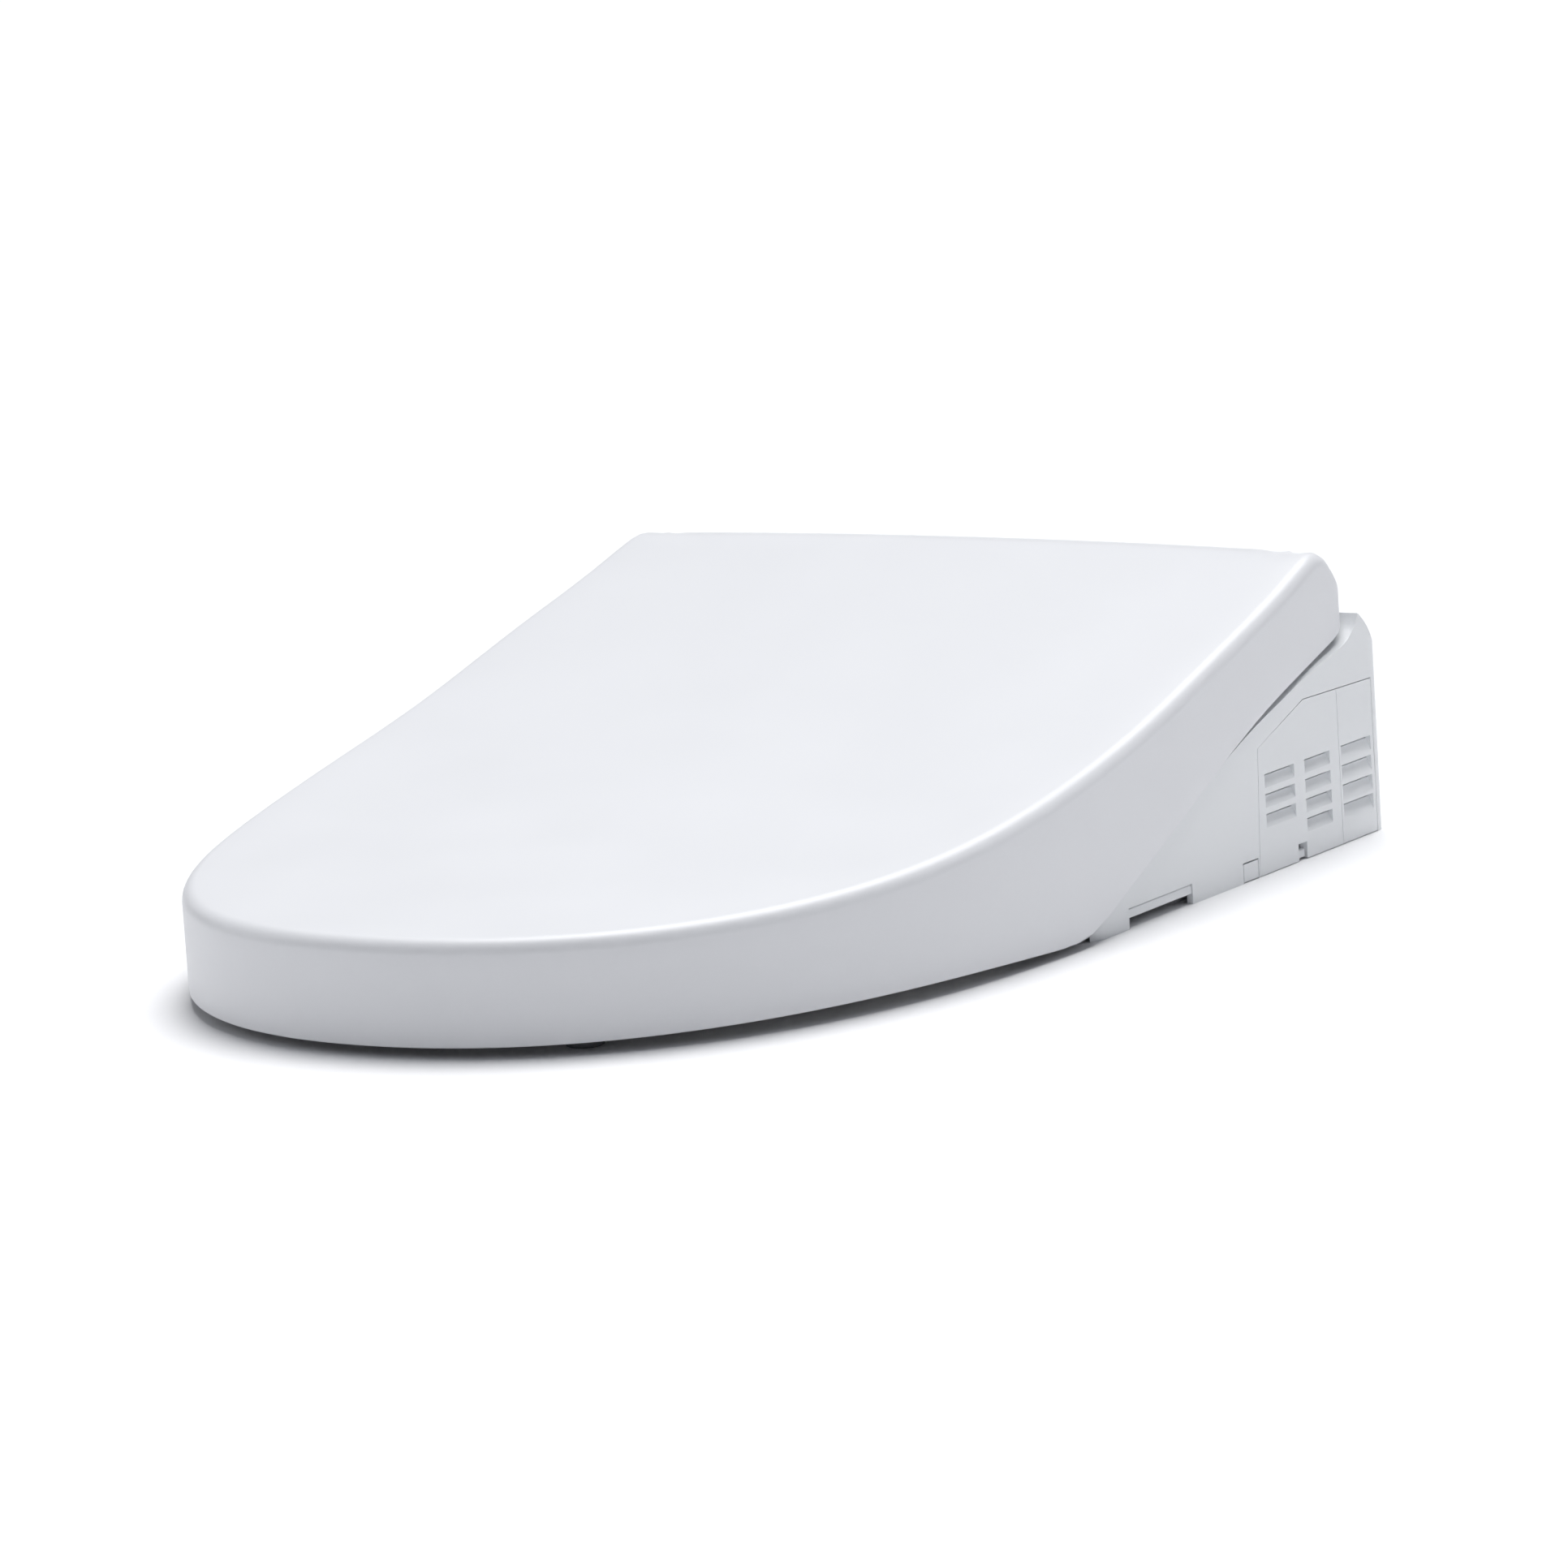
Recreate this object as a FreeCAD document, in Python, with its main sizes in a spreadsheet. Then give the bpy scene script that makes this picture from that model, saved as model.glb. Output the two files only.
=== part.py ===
import FreeCAD
import Part
import Sketcher
import math
import os
from FreeCAD import Placement, Rotation, Vector

# Electric bidet seat: a lid and a heated seat on one hinge line, over a housing that
# slides onto a mounting plate. Millimetres. Origin midway between the two fixing bolts,
# on the plane that the housing rests on; +Z up, the front of the seat towards -Y.

doc = FreeCAD.newDocument("bidet_seat")
dims = doc.addObject("Spreadsheet::Sheet", "dims")
cells = {}
nodes = {}
X_AXIS, Y_AXIS, Z_AXIS = Vector(1, 0, 0), Vector(0, 1, 0), Vector(0, 0, 1)


# ---- the sheet, primitives and booleans -------------------------------------------------

def cell(alias, value):
    """Keep a dimension in the sheet under its own name, and return the expression for it."""
    row = len(cells) + 1
    cells[alias] = value
    dims.set(f"A{row}", alias)
    dims.set(f"B{row}", str(value))
    dims.setAlias(f"B{row}", alias)
    return f"dims.{alias}"


def bound(alias, value):
    """An expression as it stands, or a number kept in the sheet as alias."""
    return value if isinstance(value, str) else cell(alias, value)


def piece(label, made):
    """Name an object as a sub-part of the seat."""
    made.Label = label
    nodes[label] = made
    return made


def place(made, name, start):
    for along, value in zip("xyz", start):
        made.setExpression(f"Placement.Base.{along}", bound(f"{name}_at_{along}", value))


def box(name, x, y, z):
    """A block between two stations along each axis."""
    made = doc.addObject("Part::Box", name)
    for along, side, (low, high) in zip("xyz", ("Length", "Width", "Height"), (x, y, z)):
        low = bound(f"{name}_{along}_low", low)
        high = bound(f"{name}_{along}_high", high)
        made.setExpression(f"Placement.Base.{along}", low)
        made.setExpression(side, f"{high} - ({low})")
    return made


def rod(name, radius, start, length, axis=Z_AXIS):
    """A round bar that runs from start along axis."""
    made = doc.addObject("Part::Cylinder", name)
    made.Placement = Placement(Vector(), Rotation(Z_AXIS, axis))
    made.setExpression("Radius", bound(f"{name}_radius", radius))
    made.setExpression("Height", bound(f"{name}_length", length))
    place(made, name, start)
    return made


def fuse(name, *parts):
    made = doc.addObject("Part::MultiFuse", name)
    made.Shapes = list(parts)
    return made


def cut(name, base, *tools):
    made = doc.addObject("Part::Cut", name)
    made.Base = base
    made.Tool = tools[0] if len(tools) == 1 else fuse(f"{name}_tools", *tools)
    return made


def common(name, base, tool):
    made = doc.addObject("Part::Common", name)
    made.Base = base
    made.Tool = tool
    return made


def solid(name, shape):
    """A shape that neither a primitive nor a sketch describes, worked out from the sheet."""
    made = doc.addObject("Part::Feature", name)
    made.Shape = shape
    return made


def mirrored(name, made):
    """The same part on the other side of the seat."""
    twin = doc.addObject("Part::Mirroring", name)
    twin.Source = made
    twin.Normal = X_AXIS
    return twin


def sketched_plate(label, plane, offset, thickness, rectangle, circles=()):
    """A padded plate: a rectangle with round holes, drawn on one of its body's own planes."""
    body = doc.addObject("PartDesign::Body", label)
    sketch = body.newObject("Sketcher::SketchObject", f"{label}_sketch")
    support = next(f for f in body.Origin.OriginFeatures if f.Role == plane)
    sketch.AttachmentSupport = [(support, "")]
    sketch.MapMode = "FlatFace"
    sketch.setExpression("AttachmentOffset.Base.z", bound(f"{label}_offset", offset))
    corners = [Vector(-1, -1), Vector(1, -1), Vector(1, 1), Vector(-1, 1)]
    for side in range(4):
        sketch.addGeometry(Part.LineSegment(corners[side], corners[(side + 1) % 4]))
    for side in range(4):
        sketch.addConstraint(Sketcher.Constraint("Coincident", side, 2, (side + 1) % 4, 1))
        sketch.addConstraint(Sketcher.Constraint("Vertical" if side % 2 else "Horizontal", side))
    stations = (("DistanceX", 0, 1), ("DistanceX", 0, 2), ("DistanceY", 0, 1), ("DistanceY", 2, 1))
    for number, ((kind, line, end), value) in enumerate(zip(stations, rectangle)):
        index = sketch.addConstraint(Sketcher.Constraint(kind, -1, 1, line, end, 1 + number))
        sketch.setExpression(f"Constraints[{index}]", bound(f"{label}_side{number}", value))
    for number, (across, up, radius) in enumerate(circles):
        ring = sketch.addGeometry(Part.Circle(Vector(0, 0), Z_AXIS, 1 + number))
        for kind, value in (("DistanceX", across), ("DistanceY", up)):
            index = sketch.addConstraint(Sketcher.Constraint(kind, -1, 1, ring, 3, 1))
            alias = f"{label}_hole{number}_{kind.lower()}"
            sketch.setExpression(f"Constraints[{index}]", bound(alias, value))
        index = sketch.addConstraint(Sketcher.Constraint("Radius", ring, 1 + number))
        sketch.setExpression(f"Constraints[{index}]", bound(f"{label}_hole{number}_r", radius))
    pad = body.newObject("PartDesign::Pad", f"{label}_pad")
    pad.Profile = sketch
    pad.setExpression("Length", bound(f"{label}_thickness", thickness))
    return body


# ---- curves that the shells share ---------------------------------------------------------

def through(points):
    """A smooth edge through stations in the side view."""
    curve = Part.BSplineCurve()
    curve.interpolate([Vector(0, y, z) for y, z in points])
    return curve.toShape()


def straight(*points):
    """Straight edges in the side view, one after another."""
    places = [Vector(0, y, z) for y, z in points]
    return [Part.makeLine(a, b) for a, b in zip(places, places[1:])]


def swept_x(edges, low, high):
    """A solid with the same side view from one x to another."""
    face = Part.Face(Part.Wire(edges))
    face.translate(Vector(low, 0, 0))
    return face.extrude(Vector(high - low, 0, 0))


def both_sides(shape):
    return shape.fuse(shape.mirror(Vector(), X_AXIS))


def upright(outline, low=-20.0, high=200.0):
    """A closed plan outline as a tall prism."""
    face = Part.Face(outline)
    face.translate(Vector(0, 0, low))
    return face.extrude(Vector(0, 0, high - low))


def rounded_front(half_width, start, front, power_along, power_across, steps=9):
    """Stations of a blunt oval front, from its widest place to its tip on the centre line."""
    turns = [math.pi / 2 * k / steps for k in range(steps + 1)]
    return [(half_width * math.cos(turn) ** (2 / power_across),
             start + (front - start) * math.sin(turn) ** (2 / power_along)) for turn in turns]


def symmetric_outline(right_side, rear, corner):
    """A plan outline: one smooth curve down both sides, a straight rear and round rear corners."""
    right = [Vector(x, y, 0) for x, y in right_side]
    left = [Vector(-point.x, point.y, 0) for point in reversed(right[:-1])]
    sides = Part.BSplineCurve()
    sides.interpolate(right + left)
    start, end = right[0], left[-1]
    bulge = corner * (1 - math.sqrt(0.5))
    edges = [sides.toShape()]
    edges.append(Part.Arc(end, Vector(end.x + bulge, rear - bulge, 0),
                          Vector(end.x + corner, rear, 0)).toShape())
    edges.append(Part.makeLine(Vector(end.x + corner, rear, 0), Vector(start.x - corner, rear, 0)))
    edges.append(Part.Arc(Vector(start.x - corner, rear, 0),
                          Vector(start.x - bulge, rear - bulge, 0), start).toShape())
    return Part.Wire(edges)


# ---- driving dimensions -------------------------------------------------------------------

driving = {
    "lid_half_width": 192.1, "lid_rear_half_width": 185.4, "lid_widest_y": -173.0,
    "lid_front_y": -478.0, "lid_rear_y": 45.3, "lid_wall": 3.2, "lid_crown": 2.9,
    "case_half_width": 188.0, "case_rear_y": 66.3, "case_front_y": -108.0, "case_wall": 3.0,
    "wing_inner_x": 176.0, "hinge_y": 26.0, "hinge_z": 112.0, "hinge_pin_radius": 5.0,
    "running_gap": 0.06, "hinge_boss_radius": 9.5, "trough_radius": 22.5,
    "arm_inner_x": 120.0, "arm_outer_x": 144.0, "hub_inner_x": 158.0, "hub_outer_x": 170.0,
    "seat_half_width": 172.0, "seat_front_half_width": 184.0, "seat_front_y": -470.0,
    "seat_rear_y": -80.0, "seat_wall": 3.0, "seat_underside": 8.0, "hole_half_width": 106.0,
    "hole_middle_y": -245.0, "hole_front_y": -400.0, "hole_rear_y": -122.0,
    "bolt_spacing": 140.0, "bolt_hole_radius": 4.5, "plate_half_width": 95.0,
    "plate_front_y": -42.0, "plate_rear_y": 46.0, "plate_thickness": 7.0,
    "recess_half_width": 98.0, "recess_front_y": -46.0, "recess_height": 10.0,
    "wand_tilt": 24.0, "port_z": 13.5, "nozzle_radius": 7.0, "stage_radius": 9.0,
    "port_flap_z": 27.6, "flap_y": -109.6, "inlet_radius": 10.4775,
}
for alias, value in driving.items():
    cell(alias, value)
doc.recompute()


def size(alias):
    return float(dims.get(alias))


hinge_y, hinge_z = size("hinge_y"), size("hinge_z")
case_wall = size("case_wall")


# ---- the lid: a thin crowned shell that wraps down round the seat --------------------------

# side view of the lid, front to rear: its crease, its round rear end and its lower edge
LID_CREASE = [(-484, 46.4), (-440, 47.4), (-378, 50.5), (-303, 57.4), (-228, 69.2), (-153, 85.1),
              (-78, 106), (-18, 123), (8, 131.4)]
LID_REAR = [(8, 131.4), (17, 133.9), (24.5, 132.4), (29.6, 128.5), (33.6, 124.2), (37, 119.8),
            (40.4, 115.3), (43.6, 110.7), (45.1, 107.6), (45.3, 105.2)]
LID_EDGE = [(45.3, 105.2), (41, 99.2), (34, 94.9), (18, 90), (-16, 81.1), (-47, 71.9), (-86, 57.4),
            (-121, 42.3), (-155, 27.5), (-188, 12.8), (-211, 4.5)]
LID_EDGE_Z = 4.5
LID_EDGE_TURN_Y = -211.0


def lid_outline(inset):
    """Plan outline of the lid, drawn in by inset."""
    widest = size("lid_half_width") - inset
    waist = size("lid_half_width") - size("lid_rear_half_width")
    middle = size("lid_widest_y")
    rear = size("lid_rear_y") - inset
    sides = []
    for y in (32 - inset, -35, -104):
        from_widest = (y - middle) / (22 - middle)
        sides.append((widest - waist * from_widest ** 2, y))
    front = rounded_front(widest, middle, size("lid_front_y") + inset, 2.65, 2.1)
    return symmetric_outline(sides + front, rear, rear - (32 - inset))


def lid_section(x, lift):
    """Side view of the lid's outside at x, its crease raised by lift."""
    crease = [(y, z + lift) for y, z in LID_CREASE]
    rear = [(y, z + lift * (z - 105.2) / (131.4 - 105.2)) for y, z in LID_REAR]
    edges = [through(crease), through(rear), through(LID_EDGE)]
    front_y, front_z = crease[0]
    edges += straight((LID_EDGE_TURN_Y, LID_EDGE_Z), (front_y, LID_EDGE_Z), (front_y, front_z))
    wire = Part.Wire(Part.__sortEdges__(edges))
    wire.translate(Vector(x, 0, 0))
    return wire


def hollow_section(x, lift):
    """Side view of the lid's inside at x: open below, a wall's thickness in from the outside."""
    wall = size("lid_wall")
    crease = [(y, z + lift - wall) for y, z in LID_CREASE]
    rear = [(8, 131.4 - wall + lift), (16.5, 130.6 + lift * 0.9), (21.9, 129.8 + lift * 0.8),
            (27, 126.2 + lift * 0.7), (31, 122.2 + lift * 0.5), (34.4, 117.9 + lift * 0.4),
            (37.8, 113.4 + lift * 0.3), (40.7, 109.2 + lift * 0.2), (42, 106.4), (42.1, 103)]
    edges = [through(crease), through(rear)]
    front_y, front_z = crease[0]
    edges += straight((42.1, 103), (42.1, -30), (front_y, -30), (front_y, front_z))
    wire = Part.Wire(Part.__sortEdges__(edges))
    wire.translate(Vector(x, 0, 0))
    return wire


def crowned(section):
    """A section carried across the lid, highest on the centre line."""
    reach = 200.0
    dip = -size("lid_crown") * ((reach / size("lid_half_width")) ** 2 - 1)
    sections = [section(-reach, dip), section(0, size("lid_crown")), section(reach, dip)]
    return Part.makeLoft(sections, True, False)


lid_outside = crowned(lid_section).common(upright(lid_outline(0)))
lid_inside = crowned(hollow_section).common(upright(lid_outline(size("lid_wall")), -40))
piece("lid_shell", solid("lid_solid", lid_outside.cut(lid_inside)))


def boss_bar(name, low, high):
    """A round boss on the hinge line from one x to another."""
    return rod(f"{name}_boss", "dims.hinge_boss_radius", (low, "dims.hinge_y", "dims.hinge_z"),
               f"{high} - ({low})", X_AXIS)


def pin_bore(name, low, high):
    return rod(f"{name}_bore", "dims.hinge_pin_radius + dims.running_gap",
               (f"{low} - 1", "dims.hinge_y", "dims.hinge_z"), f"{high} - ({low}) + 2", X_AXIS)


# brackets that carry the lid on the hinge pins, each with a web up to the inside of the shell
web = box("lid_bracket_web", ("dims.hub_inner_x", "dims.hub_outer_x"), (4, 29), (113, 136))
bracket = fuse("lid_bracket_blank", boss_bar("lid_bracket", "dims.hub_inner_x", "dims.hub_outer_x"),
               common("lid_bracket_web_fit", web, solid("lid_hollow", lid_inside)))
right_bracket = cut("lid_bracket", bracket,
                    pin_bore("lid_bracket", "dims.hub_inner_x", "dims.hub_outer_x"))
piece("lid_hinge_bracket_right", right_bracket)
piece("lid_hinge_bracket_left", mirrored("lid_bracket_twin", right_bracket))

# rubber pads between the lid and the seat
pads = []
for number, (x, y, low) in enumerate(((92, -424, 40.8), (136, -318, 44.1))):
    for side in (-1, 1):
        pads.append(rod(f"lid_pad_{number}_{side + 1}", 6, (side * x, y, low), 40))
piece("lid_bumpers", common("lid_pads", fuse("lid_pad_blanks", *pads),
                            solid("lid_hollow_for_pads", lid_inside)))


# ---- the seat: a heated hollow ring with two arms up to the hinge line ----------------------

SEAT_TOP = [(-474, 39.6), (-400, 40.1), (-330, 42.4), (-260, 46.2), (-200, 50.6), (-150, 55.8),
            (-110, 60.2), (-78, 63.6)]
SEAT_BELOW = [(-195, 0), (-150, 32), (-78, 41)]   # heights above the seat's underside


def seat_outline(inset):
    """Plan outline of the seat: narrow between the housing's wings, wider in front of them."""
    narrow = size("seat_half_width") - inset
    wide = size("seat_front_half_width") - inset
    rear = size("seat_rear_y") - inset
    sides = [(narrow, y) for y in (rear - 22 + inset, -140, -180)]
    sides.append((narrow + (wide - narrow) * 0.5, -212))
    front = rounded_front(wide, size("lid_widest_y"), size("seat_front_y") + inset, 2.65, 2.1)
    return symmetric_outline(sides + [(x, y) for x, y in front if y < -235], rear, 22 - inset)


def hole_outline(grow):
    """The seat's opening, drawn out by grow."""
    half = size("hole_half_width") + grow
    middle = size("hole_middle_y")
    front = rounded_front(half, middle, size("hole_front_y") - grow, 2.2, 2.2)
    rear = rounded_front(half, middle, size("hole_rear_y") + grow, 2.4, 2.4)
    right = [Vector(x, y, 0) for x, y in list(reversed(rear)) + front[1:]]
    left = [Vector(-point.x, point.y, 0) for point in reversed(right[1:-1])]
    loop = Part.BSplineCurve()
    loop.interpolate(Points=right + left, PeriodicFlag=True)
    return Part.Wire([loop.toShape()])


def seat_band(low_top, high_top, from_below):
    """The side view between two curves, carried across the seat."""
    if from_below:
        base = size("seat_underside")
        low = [(y, base + z + low_top) for y, z in SEAT_BELOW]
        high = [(y, base + z + high_top) for y, z in SEAT_BELOW]
        front = SEAT_TOP[0][0]
        edges = straight((front, base + low_top), *low, high[-1]) + straight(*high[::-1])
        edges += straight(high[0], (front, base + high_top), (front, base + low_top))
    else:
        low = [(y, z + low_top) for y, z in SEAT_TOP]
        high = [(y, z + high_top) for y, z in SEAT_TOP]
        edges = [through(low), through(high)]
        edges += straight(low[0], high[0]) + straight(low[-1], high[-1])
    return swept_x(Part.__sortEdges__(edges), -200, 200)


def seat_body():
    """The whole outside of the seat, before it is hollowed."""
    base = size("seat_underside")
    below = [(y, base + z) for y, z in SEAT_BELOW]
    front, top = SEAT_TOP[0]
    edges = [through(SEAT_TOP)] + straight((front, top), (front, base), *below, SEAT_TOP[-1])
    return swept_x(Part.__sortEdges__(edges), -200, 200)


wall = size("seat_wall")
ring = upright(seat_outline(0)).cut(upright(hole_outline(0)))
inner_ring = upright(seat_outline(wall), -40).cut(upright(hole_outline(wall), -40))
fitted_ring = upright(seat_outline(wall + 0.3)).cut(upright(hole_outline(wall + 0.3)))
foil_ring = upright(seat_outline(wall + 8)).cut(upright(hole_outline(wall + 8)))
beneath = seat_band(-60, -wall, False).fuse(seat_band(-80, -50, False))
seat_skin = seat_body().common(ring).cut(inner_ring.common(beneath))
seat_blank = solid("seat_skin", seat_skin)
slots = [box(f"seat_arm_slot_{side + 1}", (side * 132 - 12.3, side * 132 + 12.3), (-86, -78),
             (51.3, 60.3)) for side in (-1, 1)]
piece("seat_top_shell", cut("seat_top", seat_blank, *slots))
piece("seat_bottom_plate", solid("seat_plate", seat_band(0, 2.5, True).common(fitted_ring)))
piece("seat_heater", solid("seat_foil", seat_band(-wall - 1.3, -wall - 0.5, False).common(foil_ring)))

feet = []
for number, (x, y) in enumerate(((84, -432), (145, -262))):
    for side in (-1, 1):
        feet.append(rod(f"seat_foot_{number}_{side + 1}", 8, (side * x, y, 0), "dims.seat_underside"))
piece("seat_bumpers", fuse("seat_feet", *feet))


def arm_profile():
    """Side view of a seat arm: a foot inside the seat, then a bar up to the hinge line."""
    foot = [(-104, 51.6), (-104, 54.4), (-80, 58.4), (hinge_y - 3, hinge_z + 7),
            (hinge_y + 4, hinge_z - 6), (hinge_y - 10, hinge_z - 10.5), (4, 100), (-80, 51.8), (-104, 51.6)]
    return straight(*foot)


arm_low, arm_high = size("arm_inner_x"), size("arm_outer_x")
arm_blank = solid("seat_arm_bar", swept_x(arm_profile(), arm_low, arm_high))
arm = cut("seat_arm", fuse("seat_arm_blank", arm_blank,
                           boss_bar("seat_arm", "dims.arm_inner_x", "dims.arm_outer_x")),
          pin_bore("seat_arm", "dims.arm_inner_x", "dims.arm_outer_x"))
piece("seat_hinge_arm_right", arm)
piece("seat_hinge_arm_left", mirrored("seat_arm_twin", arm))


# ---- the housing: one outer case over a lower tray ------------------------------------------

# side view of the housing between its wings: the rear wall and the hump over the works
REAR_WALL = [(66.3, 0), (64.9, 45), (64.4, 71)]
REAR_SHOULDER = [(64.4, 71), (63.7, 79.4), (62, 84.2), (59, 88.3), (55, 93.9), (51, 98.3), (46.2, 102)]
HUMP = [(4.27, 106.2), (-2, 106.3), (-20, 102), (-48, 92), (-60, 80), (-73, 58), (-76.5, 46.6), (-100, 39.8),
        (-108, 31)]
# the top of a wing, which follows the lid's lower edge a little below it
WING_TOP = [(46.2, 102), (41, 95.1), (34, 90.8), (18, 86.9), (-16, 78), (-47, 68.9), (-86, 54.5),
            (-121, 39.4), (-155, 24.6), (-188, 9.8), (-212, 0)]


def trough_point(angle):
    turn = math.radians(angle)
    radius = size("trough_radius")
    return Vector(0, hinge_y + radius * math.cos(turn), hinge_z + radius * math.sin(turn))


def case_floor(front, drop):
    """The foot of a side view, from the front to the rear wall, lowered by drop."""
    rear, base = REAR_WALL[0]
    lowered = [(front, base), (front, -drop), (rear, -drop)] if drop else [(front, base)]
    return straight(*lowered, *REAR_WALL)


def case_middle_edges(drop=0):
    """Side view of the housing between the wings, with the round trough for the lid's rear end."""
    shoulder_end = Vector(0, *REAR_SHOULDER[-1])
    hump_start = Vector(0, *HUMP[0])
    trough = Part.Arc(shoulder_end, trough_point(-95), hump_start).toShape()
    front = size("case_front_y")
    return case_floor(front, drop) + [through(REAR_SHOULDER), trough] + straight(*HUMP, (front, 0))


def case_wing_edges(drop=0):
    return case_floor(WING_TOP[-1][0], drop) + [through(REAR_SHOULDER), through(WING_TOP)]


def plain(edge):
    """The same edge on a line, an arc or a spline of its own."""
    if isinstance(edge.Curve, (Part.Line, Part.Circle)):
        return edge
    return edge.Curve.toBSpline(edge.FirstParameter, edge.LastParameter).toShape()


def drawn_in(edges, amount):
    """The same side view with its outline moved in by amount."""
    face = Part.Face(Part.Wire(Part.__sortEdges__(edges)))
    inner = [plain(edge) for edge in face.makeOffset2D(-amount).OuterWire.Edges]
    return Part.Face(Part.Wire(Part.__sortEdges__(inner)))


def case_outline():
    """Plan outline of the housing: round rear corners and rounded toes on the wings."""
    half, rear = size("case_half_width"), size("case_rear_y")
    corner, toe, toe_y, front = 10.0, 26.0, -190.0, -230.0
    right = [Vector(half - toe, front, 0), Vector(half - 6, toe_y - 14, 0), Vector(half, toe_y, 0),
             Vector(half, rear - corner, 0), Vector(half - corner * 0.2929, rear - corner * 0.2929, 0),
             Vector(half - corner, rear, 0)]
    edges = []
    for side in (1, -1):
        tip, toe_middle, toe_end, bend, bend_middle, bend_end = [
            Vector(side * point.x, point.y, 0) for point in right]
        edges.append(Part.Arc(tip, toe_middle, toe_end).toShape())
        edges.append(Part.makeLine(toe_end, bend))
        edges.append(Part.Arc(bend, bend_middle, bend_end).toShape())
    edges.append(Part.makeLine(Vector(half - corner, rear, 0), Vector(corner - half, rear, 0)))
    edges.append(Part.makeLine(Vector(half - toe, front, 0), Vector(toe - half, front, 0)))
    return Part.Wire(Part.__sortEdges__(edges))


wing_x, half_width = size("wing_inner_x"), size("case_half_width")
wing_edges, middle_edges = Part.__sortEdges__(case_wing_edges()), Part.__sortEdges__(case_middle_edges())
wing = swept_x(wing_edges, wing_x, half_width)
case_outside = swept_x(middle_edges, -wing_x, wing_x).fuse(both_sides(wing)).common(upright(case_outline()))


def hollow(edges, low, high):
    """The space inside a stretch of the housing, open below."""
    face = drawn_in(edges, case_wall)
    face.translate(Vector(low, 0, 0))
    return face.extrude(Vector(high - low, 0, 0))


open_foot = 3 * case_wall
middle_hollow = hollow(case_middle_edges(open_foot), -wing_x + case_wall, wing_x - case_wall)
wing_hollow = both_sides(hollow(case_wing_edges(open_foot), wing_x + case_wall, half_width - case_wall))
case_blank = solid("case_blank", case_outside.cut(middle_hollow).cut(wing_hollow))


def ear_profile():
    """Side view of a hinge ear, which reaches back from the hump to the hinge line."""
    return straight((-10, 98), (2, 102.6), (hinge_y, 102.6), (hinge_y, 121.4), (4, 115),
                    (-10, 104), (-10, 98))


def arm_channel():
    """The way that a seat arm needs through the hump, down to below the arm."""
    gap = 1.5
    low, high = size("arm_inner_x") - gap, size("arm_outer_x") + gap
    outline = [(-112, 47), (-80, 47.4), (hinge_y + 6, hinge_z - 10.5), (hinge_y + 6, 150), (-112, 150)]
    return swept_x(straight(*outline, outline[0]), low, high)


ears = []
for number, (low, high) in enumerate((("dims.arm_inner_x - 12", "dims.arm_inner_x - 2"),
                                      ("dims.arm_outer_x + 2", "dims.hub_inner_x - 2"))):
    ears.append(boss_bar(f"ear_{number}", low, high))
low = size("arm_inner_x")
ears.append(solid("ear_inner_bar", swept_x(ear_profile(), low - 12, low - 2)))
ears.append(solid("ear_outer_bar", swept_x(ear_profile(), size("arm_outer_x") + 2, size("hub_inner_x") - 2)))
right_ears = fuse("right_ears", *ears)
left_ears = mirrored("left_ears", right_ears)

channel_side = swept_x(straight((-84, 43), (12, 97), (4, 110), (-24, 110), (-84, 60), (-84, 43)),
                       size("arm_inner_x") - 1.5 - case_wall, size("arm_outer_x") + 1.5 + case_wall)
channel_wall = channel_side.common(case_outside)
channel_walls = solid("channel_walls", both_sides(channel_wall))
channels = solid("arm_channels", both_sides(arm_channel()))
pin_ways = [rod(f"pin_way_{side + 1}", "dims.hinge_pin_radius + dims.running_gap / 2",
                (side * 138 - 38, "dims.hinge_y", "dims.hinge_z"), 76, X_AXIS) for side in (-1, 1)]
case_solid = cut("case_with_channels", fuse("case_with_ears", case_blank, channel_walls), channels)
case_solid = fuse("case_and_ears", case_solid, right_ears, left_ears)

# openings through the case: each is a block that the case is cut by
case_ways = pin_ways + [
    box("port_way", (-15.5, 15.5), (-114, -100), (2, 25.4)),
    box("dryer_way", (44, 64), (-114, -100), (8, 25.4)),
    box("plate_way", ("-dims.recess_half_width", "dims.recess_half_width"), (40, 80),
        (-1, "dims.recess_height")),
    box("inlet_way", (-150, -106), (46.8, 80), (9, 48)),
    rod("inlet_hole", "dims.inlet_radius + 0.1", (-128, 40, 28), 10, Y_AXIS),
    rod("gland_way", 8.1, (140, 50, 24), 30, Y_AXIS),
    box("cassette_way", (170, 181), (25, 53), (13, 48)),
    box("button_way", (170, 190), (-69, -55), (-1, 9.1)),
    box("latch_way", (170, 181), (-20, -9), (-1, 12)),
    box("notch_way_right", (170, 190), (-169, -114), (-1, 9.1)),
    box("notch_way_left", (-190, -170), (-169, -114), (-1, 9.1)),
    box("lens_way", (59.7, 84.3), (-57.5, -50.5), (83, 93)),
    box("aux_way", (-190, -181), (-60.3, -11.7), (18.7, 46.3)),
    box("aux_inner_way", (-182, -170), (-58, -14), (21, 44)),
    rod("knob_way", 12, (-190, 26, 26), 20, X_AXIS),
]


def side_panel_edges(grow, front, rear):
    """Outline of a panel in the housing's side, with a sloped upper front corner."""
    points = [(front - grow, 0.4 - 3 * grow), (front + 3.5 - grow, 57.4), (-8, 71.8 + grow),
              (rear + grow, 70.6 + grow), (rear + grow, 0.4 - 3 * grow)]
    return straight(*points, points[0])


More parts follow.
